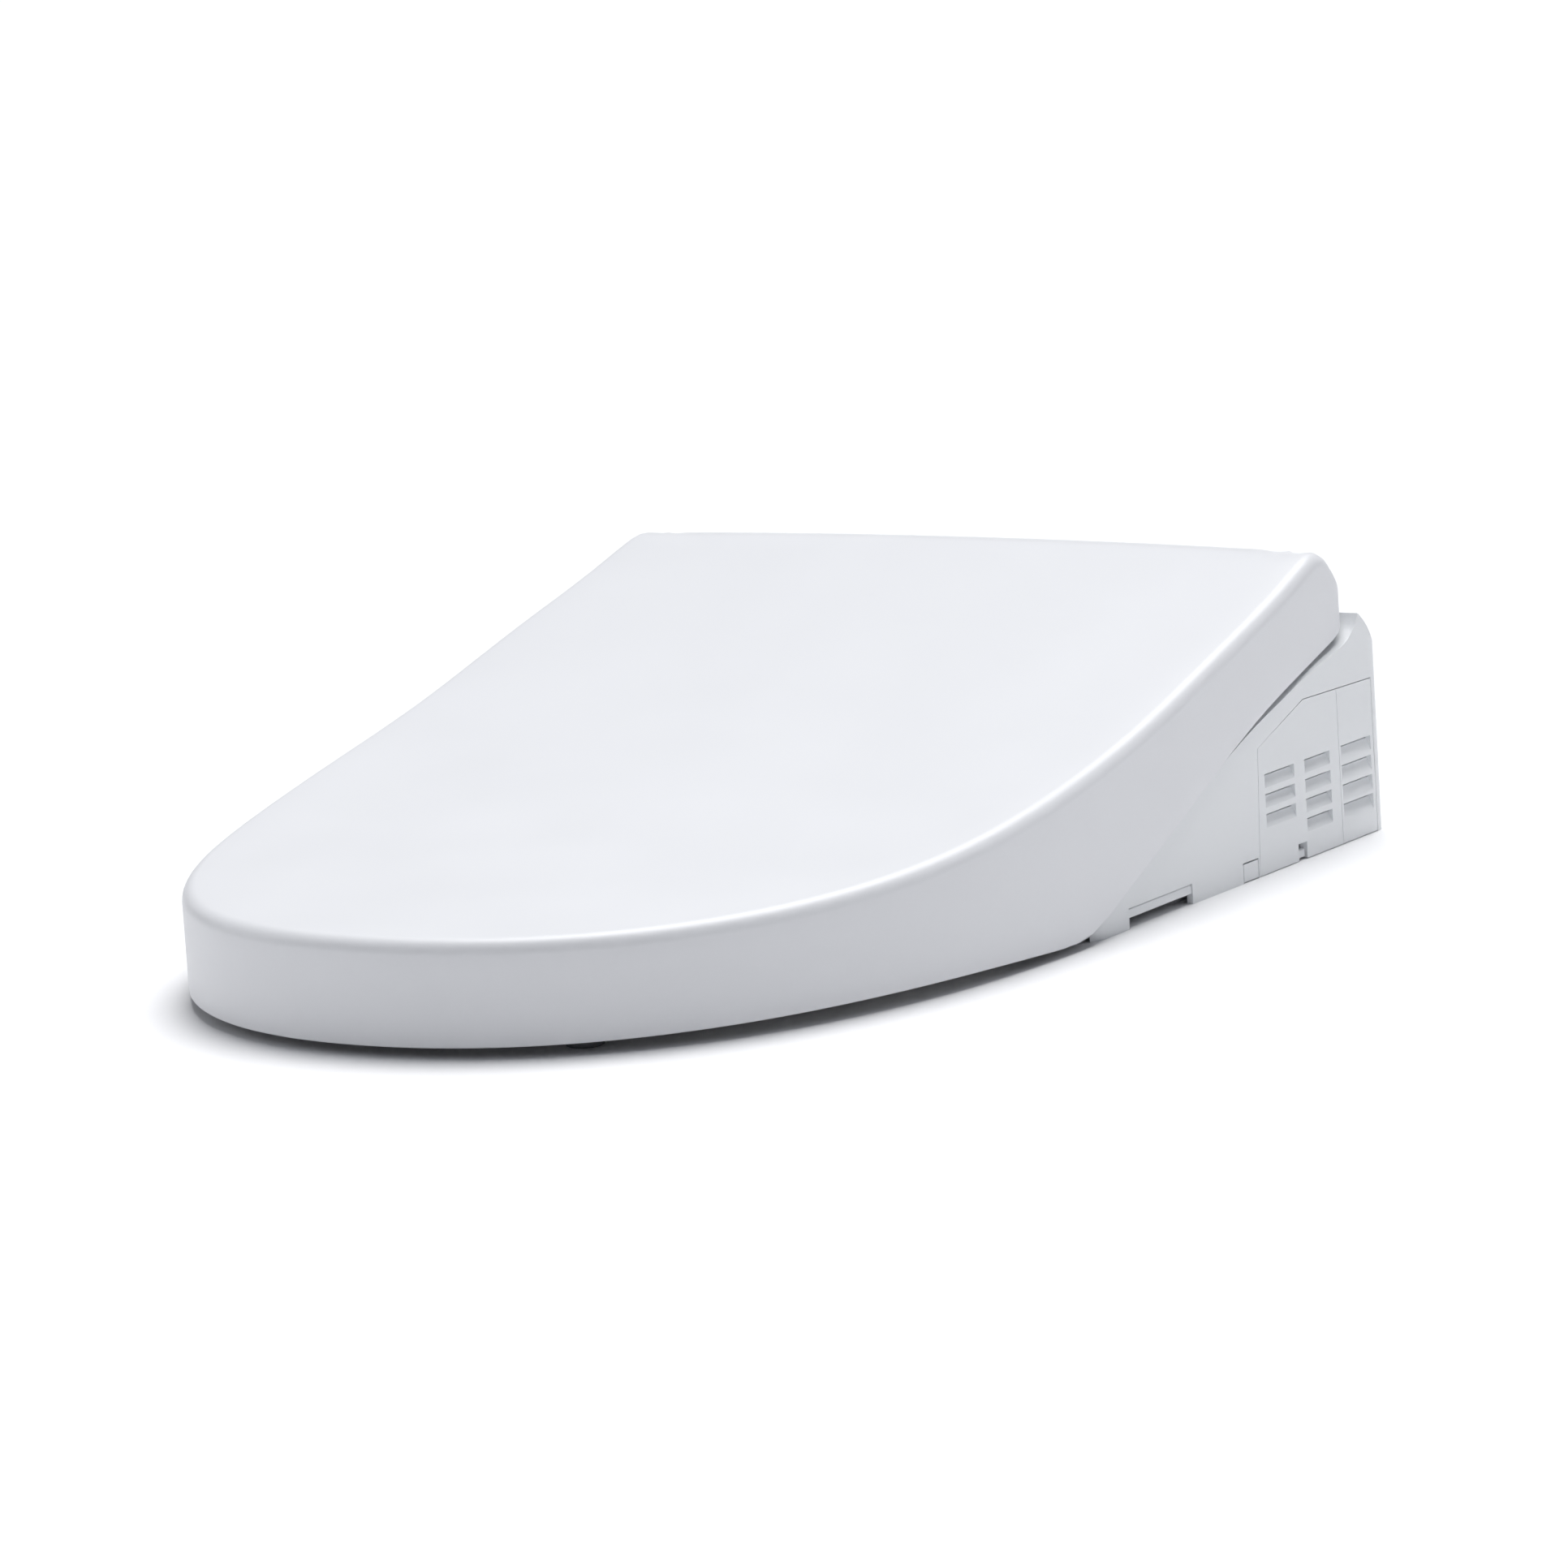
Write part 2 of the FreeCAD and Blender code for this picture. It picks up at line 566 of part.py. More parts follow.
panel_split = 22.8
panel_front, panel_rear = -54.0, 55.0
window_shape = swept_x(side_panel_edges(0.4, panel_front, panel_rear), half_width - 4.4, half_width + 5)
deep_window = swept_x(side_panel_edges(-6, panel_front, panel_rear), wing_x - 5, half_width)
case_ways.append(solid("panel_window", window_shape))
case_ways.append(solid("panel_deep_window", deep_window))
lugs = []
for number, (low, high) in enumerate(((15.9, 19), (-19, -15.9), (40.4, 42.6), (65.4, 67.6))):
    lugs.append(box(f"flap_lug_{number}", (low, high), (-112.2, -107.9), (25.2, 30)))
flap_bore = rod("flap_bore", 1.1, (-30, "dims.flap_y", "dims.port_flap_z"), 120, X_AXIS)
inlet_bay = box("inlet_bay", (-153, -103), (43.8, 64), (6.3, 51))
case_solid = cut("case_opened", fuse("case_lugged", case_solid, inlet_bay, *lugs), *case_ways, flap_bore)
piece("upper_case", case_solid)

# the tray that closes the case from below, raised over the mounting plate
tray_floor = box("tray_floor", (-172.4, 172.4), (-104.4, 62.6), (0, 2.5))
tray_rim = cut("tray_rim", box("tray_rim_out", (-172.4, 172.4), (-104.4, 62.6), (0, 6)),
               box("tray_rim_in", (-170, 170), (-102, 60), (2.4, 7)))
tray_roof = box("tray_roof", (-100.6, 100.6), (-48.6, 62.6), (0, 12.5))
tray_ways = [
    box("tray_recess", ("-dims.recess_half_width", "dims.recess_half_width"),
        ("dims.recess_front_y", 70), (-1, "dims.recess_height")),
    box("tray_button_way", (169, 175), (-69, -55), (-1, 9)),
    box("tray_latch_way", (169, 175), (-20, -9), (-1, 9)),
    box("tray_panel_way", (169, 175), (25, 53), (2.5, 9)),
]
SCREW_PLACES = [(-160, 46), (160, -88), (-160, -88), (118, 52), (-118, -12), (118, -12)]
bosses = [rod(f"tray_boss_{n}", 6.5, (x, y, 0), 9) for n, (x, y) in enumerate(SCREW_PLACES)]
tray_ways += [rod(f"tray_sink_{n}", 4.3, (x, y, -1), 4.2) for n, (x, y) in enumerate(SCREW_PLACES)]
tray_ways += [rod(f"tray_hole_{n}", 2.1, (x, y, -1), 20) for n, (x, y) in enumerate(SCREW_PLACES)]
piece("lower_case", cut("tray", fuse("tray_blank", tray_floor, tray_rim, tray_roof, *bosses), *tray_ways))
screws = []
for n, (x, y) in enumerate(SCREW_PLACES):
    screws.append(rod(f"screw_head_{n}", 4, (x, y, 0.6), 2.4))
    screws.append(rod(f"screw_shank_{n}", 2, (x, y, 2.9), 11))
piece("case_screws", fuse("screws", *screws))

# hinge pins and the two soft-close dampers, which sit in line inside the lid's rear end
pin = rod("hinge_pin", "dims.hinge_pin_radius", (106, "dims.hinge_y", "dims.hinge_z"), 65, X_AXIS)
piece("hinge_pin_right", pin)
piece("hinge_pin_left", mirrored("hinge_pin_twin", pin))
for label, side in (("seat_damper", 1), ("lid_damper", -1)):
    start = 54 if side > 0 else -106
    barrel = rod(f"{label}_barrel", 8.8, (start, "dims.hinge_y", "dims.hinge_z"), 52, X_AXIS)
    collar_at = 54 if side > 0 else -60
    collar = rod(f"{label}_collar", 9.4, (collar_at, "dims.hinge_y", "dims.hinge_z"), 6, X_AXIS)
    piece(label, fuse(f"{label}_body", barrel, collar))

# bars across the finger notches in the wings
for label, low, high in (("notch_bar_right", 181.5, 187.6), ("notch_bar_left", -187.6, -181.5)):
    piece(label, box(f"{label}_strip", (low, high), (-168.7, -114.3), (4.6, 8.7)))

lens = box("sensor_lens", (60, 84), (-57.2, -50.8), (84, 90.2))
lens_slope = straight((-75, 64.4), (-60, 80), (-48, 92), (-40, 94.8), (-75, 94.8), (-75, 64.4))
lens_face = swept_x(lens_slope, 50, 90)
piece("user_sensor_window", cut("sensor_window", lens, solid("sensor_slope", lens_face)))
piece("mains_gland", cut("gland", fuse("gland_blank", rod("gland_neck", 7.9, (140, 56, 24), 10, Y_AXIS),
                                       rod("gland_flange", 10.5, (140, 56.5, 24), 5.5, Y_AXIS)),
                         rod("gland_hole", 3.8, (140, 50, 24), 20, Y_AXIS)))


# ---- side covers: a louvred panel and the vent panel that draws out the air filter ----------

LOUVRE_TOPS = (44.9, 35.9, 27.0, 18.2)
LOUVRE_HEIGHT = 6.4
LOUVRE_DEPTH = 3.0
panel = swept_x(side_panel_edges(0, panel_front, panel_rear), half_width - 4, half_width)


def louvre(front, rear, top, height):
    """A scoop, deep at its top and running out to the surface at its bottom, with a slit."""
    outer = half_width + 0.1
    corners = [Vector(outer, 0, top), Vector(outer - LOUVRE_DEPTH, 0, top), Vector(outer, 0, top - height)]
    scoop = Part.Face(Part.makePolygon(corners + corners[:1])).extrude(Vector(0, rear - front, 0))
    scoop.translate(Vector(0, front, 0))
    slit = Part.makeBox(6, rear - front, 1.4, Vector(half_width - 5, front, top - 1.4))
    return scoop.fuse(slit)


def between(front, rear):
    return Part.makeBox(40, rear - front, 100, Vector(half_width - 20, front, -2))


def louvred(front, rear, columns):
    shape = panel.common(between(front, rear))
    for low, high, tops, height in columns:
        for top in tops:
            shape = shape.cut(louvre(low, high, top, height))
    return shape


cover = louvred(panel_front - 1, panel_split - 0.2, ((-46, -19, LOUVRE_TOPS[:3], LOUVRE_HEIGHT),
                                                     (-9.5, 14, LOUVRE_TOPS, LOUVRE_HEIGHT)))
latch_notch = box("latch_notch", (183, 190), (-18.5, -10.6), (-1, 8))
piece("side_cover_right", cut("cover", solid("cover_blank", cover), latch_notch))
piece("cover_latch", fuse("latch", box("latch_tongue", (183.8, 187), (-17.6, -11.5), (1.2, 4.8)),
                          box("latch_leaf", (181.8, 183.9), (-17.6, -11.5), (1.2, 20))))
vent = louvred(panel_split + 0.2, panel_rear + 1, ((24.6, 52.3, LOUVRE_TOPS, LOUVRE_HEIGHT + 0.8),))
piece("rear_vent_panel", solid("vent_panel", vent))
piece("filter_cassette", cut("cassette", box("cassette_blank", (150, 184), (27, 51), (15, 46)),
                             box("cassette_way_through", (149, 185), (29.4, 48.6), (17.4, 43.6))))
piece("filter_pad", box("filter_foam", (154, 178), (29.4, 48.6), (17.4, 43.6)))

FAN_Y, FAN_Z = 39.0, 31.0
piece("deodoriser_fan_housing", cut(
    "deodoriser_housing", rod("deodoriser_drum", 14, (129, FAN_Y, FAN_Z), 18, X_AXIS),
    rod("deodoriser_bore", 12.2, (131, FAN_Y, FAN_Z), 20, X_AXIS)))


def blades(name, count, x, reach, thickness, centre):
    """Straight radial blades about the X axis."""
    made = []
    for number in range(count):
        blade = doc.addObject("Part::Box", f"{name}_{number}")
        for side, value in (("Length", x[1] - x[0]), ("Width", thickness), ("Height", reach[1] - reach[0])):
            blade.setExpression(side, bound(f"{name}_{number}_{side.lower()}", value))
        turn = Rotation(X_AXIS, 360.0 * number / count)
        start = Vector(x[0], centre[0], centre[1]) + turn.multVec(Vector(0, -thickness / 2, reach[0]))
        blade.Placement = Placement(start, turn)
        made.append(blade)
    return made


piece("deodoriser_fan_rotor", fuse(
    "deodoriser_rotor", rod("deodoriser_hub", 4.5, (131.5, FAN_Y, FAN_Z), 12, X_AXIS),
    *blades("deodoriser_blade", 7, (133, 143), (3.5, 11.6), 1.2, (FAN_Y, FAN_Z))))

# the push tab in the right wing that lets the housing slide off its plate
piece("release_button", fuse("release", box("release_tab", (184.4, 188), (-68.4, -55.6), (0.5, 8.4)),
                             box("release_stem", (148, 184.5), (-64.4, -59.6), (3, 7)),
                             box("release_bar", (104, 150), (-66, -58), (3.2, 6.6))))


# ---- the mounting plate, which stays bolted to the toilet ------------------------------------

piece("mounting_plate", sketched_plate(
    "plate", "XY_Plane", 1.2, "dims.plate_thickness",
    ("-dims.plate_half_width", "dims.plate_half_width", "dims.plate_front_y", "dims.plate_rear_y"),
    [("-dims.bolt_spacing / 2", 0, 16), ("dims.bolt_spacing / 2", 0, 16), (0, -22, 12), (0, 22, 12)]))
inserts = []
for side in (-1, 1):
    disc = rod(f"insert_disc_{side + 1}", 15.7, (f"{side} * dims.bolt_spacing / 2", 0, 0),
               "dims.plate_thickness + 1.2")
    hole = rod(f"insert_hole_{side + 1}", "dims.bolt_hole_radius",
               (f"{side} * dims.bolt_spacing / 2", 0, -2), 12)
    inserts.append(cut(f"insert_{side + 1}", disc, hole))
piece("adjuster_inserts", fuse("inserts", *inserts))
piece("plate_pad", sketched_plate(
    "grip_sheet", "XY_Plane", 0, 1.2, (-90, 90, -38, 42),
    [("-dims.bolt_spacing / 2", 0, 18), ("dims.bolt_spacing / 2", 0, 18), (0, 0, 8)]))


# ---- the wand: a two-stage nozzle on a slope, driven by a rack and pinion --------------------

tilt = math.radians(size("wand_tilt"))
slope = Rotation(X_AXIS, size("wand_tilt"))
uphill = Vector(0, math.cos(tilt), math.sin(tilt))
port = Vector(0, size("case_front_y"), size("port_z"))


def tilt_base(made, name, x, along, above):
    """Bind a part's corner to a place on the wand's slope."""
    along, above = bound(f"{name}_along", along), bound(f"{name}_above", above)
    made.setExpression("Placement.Base.x", x)
    made.setExpression("Placement.Base.y", f"dims.case_front_y + ({along}) * cos(dims.wand_tilt * 1deg)"
                                           f" - ({above}) * sin(dims.wand_tilt * 1deg)")
    made.setExpression("Placement.Base.z", f"dims.port_z + ({along}) * sin(dims.wand_tilt * 1deg)"
                                           f" + ({above}) * cos(dims.wand_tilt * 1deg)")


def tilted_box(name, half_x, along, above):
    made = doc.addObject("Part::Box", name)
    made.Placement = Placement(Vector(), slope)
    half = bound(f"{name}_half_x", half_x)
    made.setExpression("Length", f"2 * {half}")
    made.setExpression("Width", bound(f"{name}_width", along[1] - along[0]))
    made.setExpression("Height", bound(f"{name}_height", above[1] - above[0]))
    tilt_base(made, name, f"-{half}", along[0], above[0])
    return made


def tilted_rod(name, radius, along):
    made = doc.addObject("Part::Cylinder", name)
    made.Placement = Placement(Vector(), Rotation(Z_AXIS, uphill))
    made.setExpression("Radius", bound(f"{name}_radius", radius))
    made.setExpression("Height", bound(f"{name}_length", along[1] - along[0]))
    tilt_base(made, name, "0", along[0], 0)
    return made


guide = fuse("guide_blank", tilted_box("guide_block", 13, (12, 146), (-11, 11)),
             box("guide_rear_leg", (-10, 10), (-30, -12), (12.6, 42)),
             box("guide_front_leg", (-10, 10), (-97, -90), (2.6, 14)))
piece("wand_guide", cut("guide", guide, tilted_rod("guide_bore", "dims.stage_radius + 0.35", (-4, 160)),
                        tilted_box("guide_slot", 4.5, (-4, 160), (5, 24))))
stage = cut("stage_tube", tilted_rod("stage_out", "dims.stage_radius", (62, 152)),
            tilted_rod("stage_bore", "dims.nozzle_radius + 0.35", (60, 154)),
            tilted_box("stage_flat", 2.6, (60, 154), (8.2, 12)))
piece("wand_stage", stage)

TOOTH_MODULE = 1.0
PINION_TEETH = 12
PINION_ALONG = 76.0
PITCH_LINE = 12.2
ROOT, TIP = 1.1, 0.9
TOOTH_HALF = 0.6 * TOOTH_MODULE   # half a tooth at the pitch line, less than a quarter pitch: backlash
FLANK = math.tan(math.radians(20))
pitch = math.pi * TOOTH_MODULE


def on_slope(x, along, above):
    return port + slope.multVec(Vector(x, along, above))


def rack_shape(half_x, along_low, along_high, bottom):
    outline = [(along_low, bottom), (along_low, PITCH_LINE - ROOT)]
    first = math.ceil((along_low + 1.2 - PINION_ALONG) / pitch)
    last = math.floor((along_high - 1.2 - PINION_ALONG) / pitch)
    for number in range(first, last + 1):
        middle = PINION_ALONG + number * pitch
        root, tip = TOOTH_HALF + ROOT * FLANK, TOOTH_HALF - TIP * FLANK
        outline += [(middle - root, PITCH_LINE - ROOT), (middle - tip, PITCH_LINE + TIP),
                    (middle + tip, PITCH_LINE + TIP), (middle + root, PITCH_LINE - ROOT)]
    outline += [(along_high, PITCH_LINE - ROOT), (along_high, bottom)]
    corners = [on_slope(-half_x, along, above) for along, above in outline]
    return Part.Face(Part.makePolygon(corners + corners[:1])).extrude(Vector(2 * half_x, 0, 0))


piece("wand_rack", solid("rack", rack_shape(2.5, 72, 140, 8.2)))
pinion_radius = TOOTH_MODULE * PINION_TEETH / 2
pinion_centre = on_slope(0, PINION_ALONG, PITCH_LINE + pinion_radius)


def gear_shape(half_x):
    """The pinion, with a gap between two teeth facing the rack."""
    corners = []
    down = math.atan2(-math.cos(tilt), math.sin(tilt))
    for number in range(PINION_TEETH):
        middle = down + 2 * math.pi * (number + 0.5) / PINION_TEETH
        for reach, half in ((-ROOT, TOOTH_HALF + ROOT * FLANK), (TIP, TOOTH_HALF - TIP * FLANK),
                            (TIP, -TOOTH_HALF + TIP * FLANK), (-ROOT, -TOOTH_HALF - ROOT * FLANK)):
            radius = pinion_radius + reach
            turn = middle - half / radius
            corners.append(pinion_centre + Vector(-half_x, radius * math.cos(turn), radius * math.sin(turn)))
    return Part.Face(Part.makePolygon(corners + corners[:1])).extrude(Vector(2 * half_x, 0, 0))


shaft_y, shaft_z = round(pinion_centre.y, 4), round(pinion_centre.z, 4)
piece("drive_pinion", fuse("pinion", solid("pinion_teeth", gear_shape(3.5)),
                           rod("pinion_shaft", 1.5, (-3.5, shaft_y, shaft_z), 22, X_AXIS)))
motor_can = rod("motor_can", 14, (14.6, shaft_y, shaft_z), 17.5, X_AXIS)
motor_ears = box("motor_ears", (14.6, 16.2), (shaft_y - 17, shaft_y + 17), (shaft_z - 4, shaft_z + 4))
piece("wand_motor", cut("motor", fuse("motor_blank", motor_can, motor_ears),
                        rod("motor_bore", 1.56, (14, shaft_y, shaft_z), 6, X_AXIS)))
piece("nozzle_tube", cut("nozzle_barrel", tilted_rod("nozzle_out", "dims.nozzle_radius", (76, 150)),
                         tilted_rod("nozzle_way", 2.5, (70, 152))))
tip_jets = [rod(f"jet_{n}", 0.7, (x, -44.2, 35), 12) for n, x in enumerate((-1.6, 0, 1.6))]
piece("nozzle_tip", cut("nozzle_end", tilted_rod("nozzle_end_out", "dims.nozzle_radius - 0.1", (58, 76)),
                        *tip_jets))


def outlet_flap(name, low, high, bottom):
    """A flap that hangs in front of the case on a pin held by two lugs."""
    leaf = box(f"{name}_leaf", (low, high), ("dims.flap_y - 1", "dims.flap_y + 0.9"),
               (bottom, "dims.port_flap_z"))
    knuckle = rod(f"{name}_knuckle", 1.5, (low, "dims.flap_y", "dims.port_flap_z"), high - low, X_AXIS)
    pivot = rod(f"{name}_pivot", 1.04, (low - 4, "dims.flap_y", "dims.port_flap_z"), high - low + 8, X_AXIS)
    return fuse(name, leaf, knuckle, pivot)


piece("nozzle_shutter", outlet_flap("shutter", -14.8, 14.8, 2.6))


# ---- warm air dryer -----------------------------------------------------------------------

BLOWER_Y, BLOWER_Z = 0.0, 48.0
piece("dryer_fan_housing", cut(
    "volute", rod("volute_drum", 30, (40, BLOWER_Y, BLOWER_Z), 28, X_AXIS),
    rod("volute_cavity", 27, (42, BLOWER_Y, BLOWER_Z), 24, X_AXIS),
    rod("volute_mouth", 14, (39, BLOWER_Y, BLOWER_Z), 10, X_AXIS),
    rod("volute_shaft_hole", 3.5, (60, BLOWER_Y, BLOWER_Z), 12, X_AXIS),
    box("volute_outlet", (44, 64), (-40, -14), (20, 38))))
piece("dryer_impeller", fuse(
    "impeller", rod("impeller_disc", 24, (62, BLOWER_Y, BLOWER_Z), 2, X_AXIS),
    rod("impeller_hub", 5, (52, BLOWER_Y, BLOWER_Z), 11, X_AXIS),
    rod("impeller_shaft", 2, (63, BLOWER_Y, BLOWER_Z), 12, X_AXIS),
    *blades("impeller_blade", 14, (44, 62.5), (17, 23.5), 1.4, (BLOWER_Y, BLOWER_Z))))
piece("dryer_motor", cut("blower_motor", rod("blower_can", 15, (70, BLOWER_Y, BLOWER_Z), 22, X_AXIS),
                         rod("blower_bore", 2.06, (69, BLOWER_Y, BLOWER_Z), 7, X_AXIS)))
duct = fuse("duct_blank", box("duct_front", (42, 66), (-104.6, -52), (6, 28)),
            box("duct_rear", (42, 66), (-66, -30.8), (16, 40)))
piece("dryer_duct", cut("duct", duct, box("duct_front_way", (44, 64), (-106, -54), (8, 26)),
                        box("duct_rear_way", (44, 64), (-64, -28), (18, 38))))
fins = [box(f"heater_slot_{n}", (47 + 4 * n, 49 + 4 * n), (-94, -72), (7, 30)) for n in range(4)]
piece("dryer_heater", cut("dryer_element", box("dryer_element_block", (45, 63), (-96, -70), (9, 25)), *fins))
piece("dryer_outlet_flap", outlet_flap("dryer_flap", 43.4, 64.6, 6))


# ---- water: inlet, valve, pump, heater and pipes ---------------------------------------------

INLET_X, INLET_Z = -128.0, 28.0
spigot = rod("inlet_spigot", "dims.inlet_radius", (INLET_X, 40.2, INLET_Z), 23.8, Y_AXIS)
collar = rod("inlet_collar", 13.5, (INLET_X, 46.9, INLET_Z), 4, Y_AXIS)
piece("water_inlet_fitting", cut("inlet", fuse("inlet_blank", spigot, collar),
                                 rod("inlet_bore", 7, (INLET_X, 39, INLET_Z), 30, Y_AXIS)))
piece("solenoid_valve", fuse("valve", box("valve_block", (-146, -112), (22, 40), (14, 42)),
                             rod("valve_coil", 8.5, (-129, 31, 41), 18)))
piece("water_pump", fuse("pump", rod("pump_can", 15, (-144, -36, 31), 46, Y_AXIS),
                         rod("pump_head", 9, (-144, 9, 31), 12.7, Y_AXIS)))
tank = doc.addObject("Part::Fillet", "tank_rounded")
tank.Base = box("tank_block", (-98, -24), (-36, 30), (14, 64))
tank.Edges = [(edge, 6.0, 6.0) for edge in range(1, 13)]
piece("water_heater", fuse("heater", tank, box("heater_band", (-99.5, -22.5), (-10, 6), (15, 62))))
pipe_route = [Part.makeLine(Vector(-60, -36, 38), Vector(-60, -44, 38)),
              Part.Arc(Vector(-60, -44, 38), Vector(-57.66, -49.66, 38), Vector(-52, -52, 38)).toShape(),
              Part.makeLine(Vector(-52, -52, 38), Vector(-13.2, -52, 38))]
pipe_end = Part.Face(Part.Wire([Part.makeCircle(3.5, Vector(-60, -36, 38), Y_AXIS)]))
piece("warm_water_pipe", solid("warm_pipe", Part.Wire(pipe_route).makePipe(pipe_end)))
piece("drain_valve", cut("drain_body", rod("drain_barrel", 8, (-183, 26, 26), 22, X_AXIS),
                         rod("drain_bore", 3.06, (-184, 26, 26), 14, X_AXIS)))
piece("drain_knob", fuse("knob", rod("knob_disc", 11.2, (-187.6, 26, 26), 4, X_AXIS),
                         rod("knob_stem", 3, (-184, 26, 26), 12, X_AXIS),
                         box("knob_grip", (-190.6, -187), (24, 28), (16, 36))))


# ---- controls and electronics -----------------------------------------------------------------

BUTTON_PLACES = (-50, -36, -22)
button_holes = [rod(f"aux_hole_{n}", 4.5, (-190, y, 32), 12, X_AXIS) for n, y in enumerate(BUTTON_PLACES)]
piece("aux_panel", cut("aux_plate", box("aux_blank", (-188, -184.6), (-60, -12), (19, 46)), *button_holes))
for n, y in enumerate(BUTTON_PLACES):
    piece(f"aux_button_{n + 1}", rod(f"aux_cap_{n}", 4.1, (-189.4, y, 32), 7.4, X_AXIS))
board_parts = []
CHIPS = ((-104, -36, 18, 14, 9), (-80, -36, 12, 12, 5), (-60, -30, 24, 16, 4), (-104, -8, 14, 20, 8),
         (-78, -6, 10, 22, 7), (-50, 0, 16, 12, 6))
for n, (x, y, across, deep, tall) in enumerate(CHIPS):
    board_parts.append(box(f"board_part_{n}", (x, x + across), (y, y + deep), (71.5, 71.6 + tall)))
board = sketched_plate("logic_board", "XY_Plane", 70, 1.6, (-112, -24, -44, 20),
                       [(-108, -40, 1.6), (-28, -40, 1.6), (-108, 16, 1.6), (-28, 16, 1.6)])
piece("control_board", fuse("control_electronics", board, *board_parts))
supply = sketched_plate("supply_board", "YZ_Plane", 98, 1.6, (-44, 30, 15, 64),
                        [(-40, 60, 1.6), (26, 60, 1.6)])
piece("power_board", fuse("power_electronics", supply, box("transformer", (99.5, 116), (-30, -2), (18, 44)),
                          rod("capacitor", 6, (99.5, 12, 30), 14, X_AXIS)))


# ---- checks and files ----------------------------------------------------------------------

def export():
    doc.recompute()
    for made in doc.Objects:
        if "Invalid" in made.State or "Error" in made.State:
            raise RuntimeError(f"{made.Label} is {made.State}")
    os.makedirs("parts", exist_ok=True)
    for label, made in nodes.items():
        shape = made.Shape
        if shape.isNull() or not shape.isValid() or not shape.Solids:
            raise RuntimeError(f"{label} has no sound solid")
        shape.exportStep(f"parts/{label}.step")


export()
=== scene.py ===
import math

import bpy
import numpy as np
from mathutils import Euler, Matrix, Vector


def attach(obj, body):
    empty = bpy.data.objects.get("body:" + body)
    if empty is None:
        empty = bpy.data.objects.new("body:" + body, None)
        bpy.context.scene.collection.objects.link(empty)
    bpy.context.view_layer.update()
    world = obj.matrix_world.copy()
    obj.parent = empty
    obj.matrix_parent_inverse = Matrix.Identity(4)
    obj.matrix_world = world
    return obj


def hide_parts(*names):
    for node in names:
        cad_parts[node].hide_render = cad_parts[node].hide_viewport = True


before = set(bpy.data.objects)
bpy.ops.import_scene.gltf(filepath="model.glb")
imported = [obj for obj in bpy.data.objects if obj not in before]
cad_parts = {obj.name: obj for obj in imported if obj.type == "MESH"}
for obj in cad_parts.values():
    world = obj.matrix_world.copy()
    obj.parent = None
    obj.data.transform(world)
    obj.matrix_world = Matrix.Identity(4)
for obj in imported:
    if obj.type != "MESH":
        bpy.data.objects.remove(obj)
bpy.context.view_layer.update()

MM = 0.001


# ---- studio: a pale floor, soft light from above and behind, and the camera -----------------
# The floor is matt white card. A broad light overhead leans in from behind, the sky is dim at the
# horizon, and one strip on the left lights the lid's front left end, as for white ware.

def linear(code):
    """The linear colour of an sRGB hex value, with full alpha."""
    parts = [int(code[k:k + 2], 16) / 255 for k in (0, 2, 4)]
    return [c / 12.92 if c <= 0.04045 else ((c + 0.055) / 1.055) ** 2.4 for c in parts] + [1.0]


def add_node(tree, kind, values=(), inputs=(), **settings):
    """A shader node with its properties, its socket values and what feeds its sockets."""
    made = tree.nodes.new(kind)
    for name, value in settings.items():
        setattr(made, name, value)
    for socket, value in dict(values).items():
        made.inputs[socket].default_value = value
    for socket, source in dict(inputs).items():
        tree.links.new(source, made.inputs[socket])
    return made


def new_material(name):
    """An empty material, its node tree and its surface shader."""
    made = bpy.data.materials.new(name)
    made.use_nodes = True
    made.node_tree.nodes.clear()
    tree = made.node_tree
    surface = add_node(tree, "ShaderNodeBsdfPrincipled")
    add_node(tree, "ShaderNodeOutputMaterial", inputs={"Surface": surface.outputs["BSDF"]})
    return made, tree, surface


def unselect():
    if bpy.context.object and bpy.context.object.mode != "OBJECT":
        bpy.ops.object.mode_set(mode="OBJECT")
    bpy.ops.object.select_all(action="DESELECT")


unselect()
bpy.ops.mesh.primitive_plane_add(size=60, location=(0, 0, 0))
floor = bpy.context.object
floor.name = "studio_floor"
card, tree, surface = new_material("matt white card")
grain = add_node(tree, "ShaderNodeTexNoise", {"Scale": 900.0, "Detail": 3.0},
                 {"Vector": add_node(tree, "ShaderNodeTexCoord").outputs["Object"]})
bump = add_node(tree, "ShaderNodeBump", {"Strength": 0.05, "Distance": 0.0002},
                {"Height": grain.outputs["Fac"]})
surface.inputs["Base Color"].default_value = linear("FBFBFC")
surface.inputs["Roughness"].default_value = 0.85
tree.links.new(bump.outputs["Normal"], surface.inputs["Normal"])
floor.data.materials.append(card)

world = bpy.data.worlds.new("studio")
bpy.context.scene.world = world
world.use_nodes = True
sky = world.node_tree
sky_height = add_node(sky, "ShaderNodeSeparateXYZ",
                      inputs={"Vector": add_node(sky, "ShaderNodeTexCoord").outputs["Generated"]})
HORIZON_GLOW, ZENITH_GLOW = 0.04, 0.25
sky_fall = add_node(sky, "ShaderNodeMapRange",
                    {"From Min": 0.06, "From Max": 0.42, "To Min": HORIZON_GLOW, "To Max": ZENITH_GLOW},
                    {"Value": sky_height.outputs["Z"]}, interpolation_type="SMOOTHSTEP")
sky.links.new(sky_fall.outputs["Result"], sky.nodes["Background"].inputs["Strength"])
sky.nodes["Background"].inputs["Color"].default_value = linear("EFF3FC")

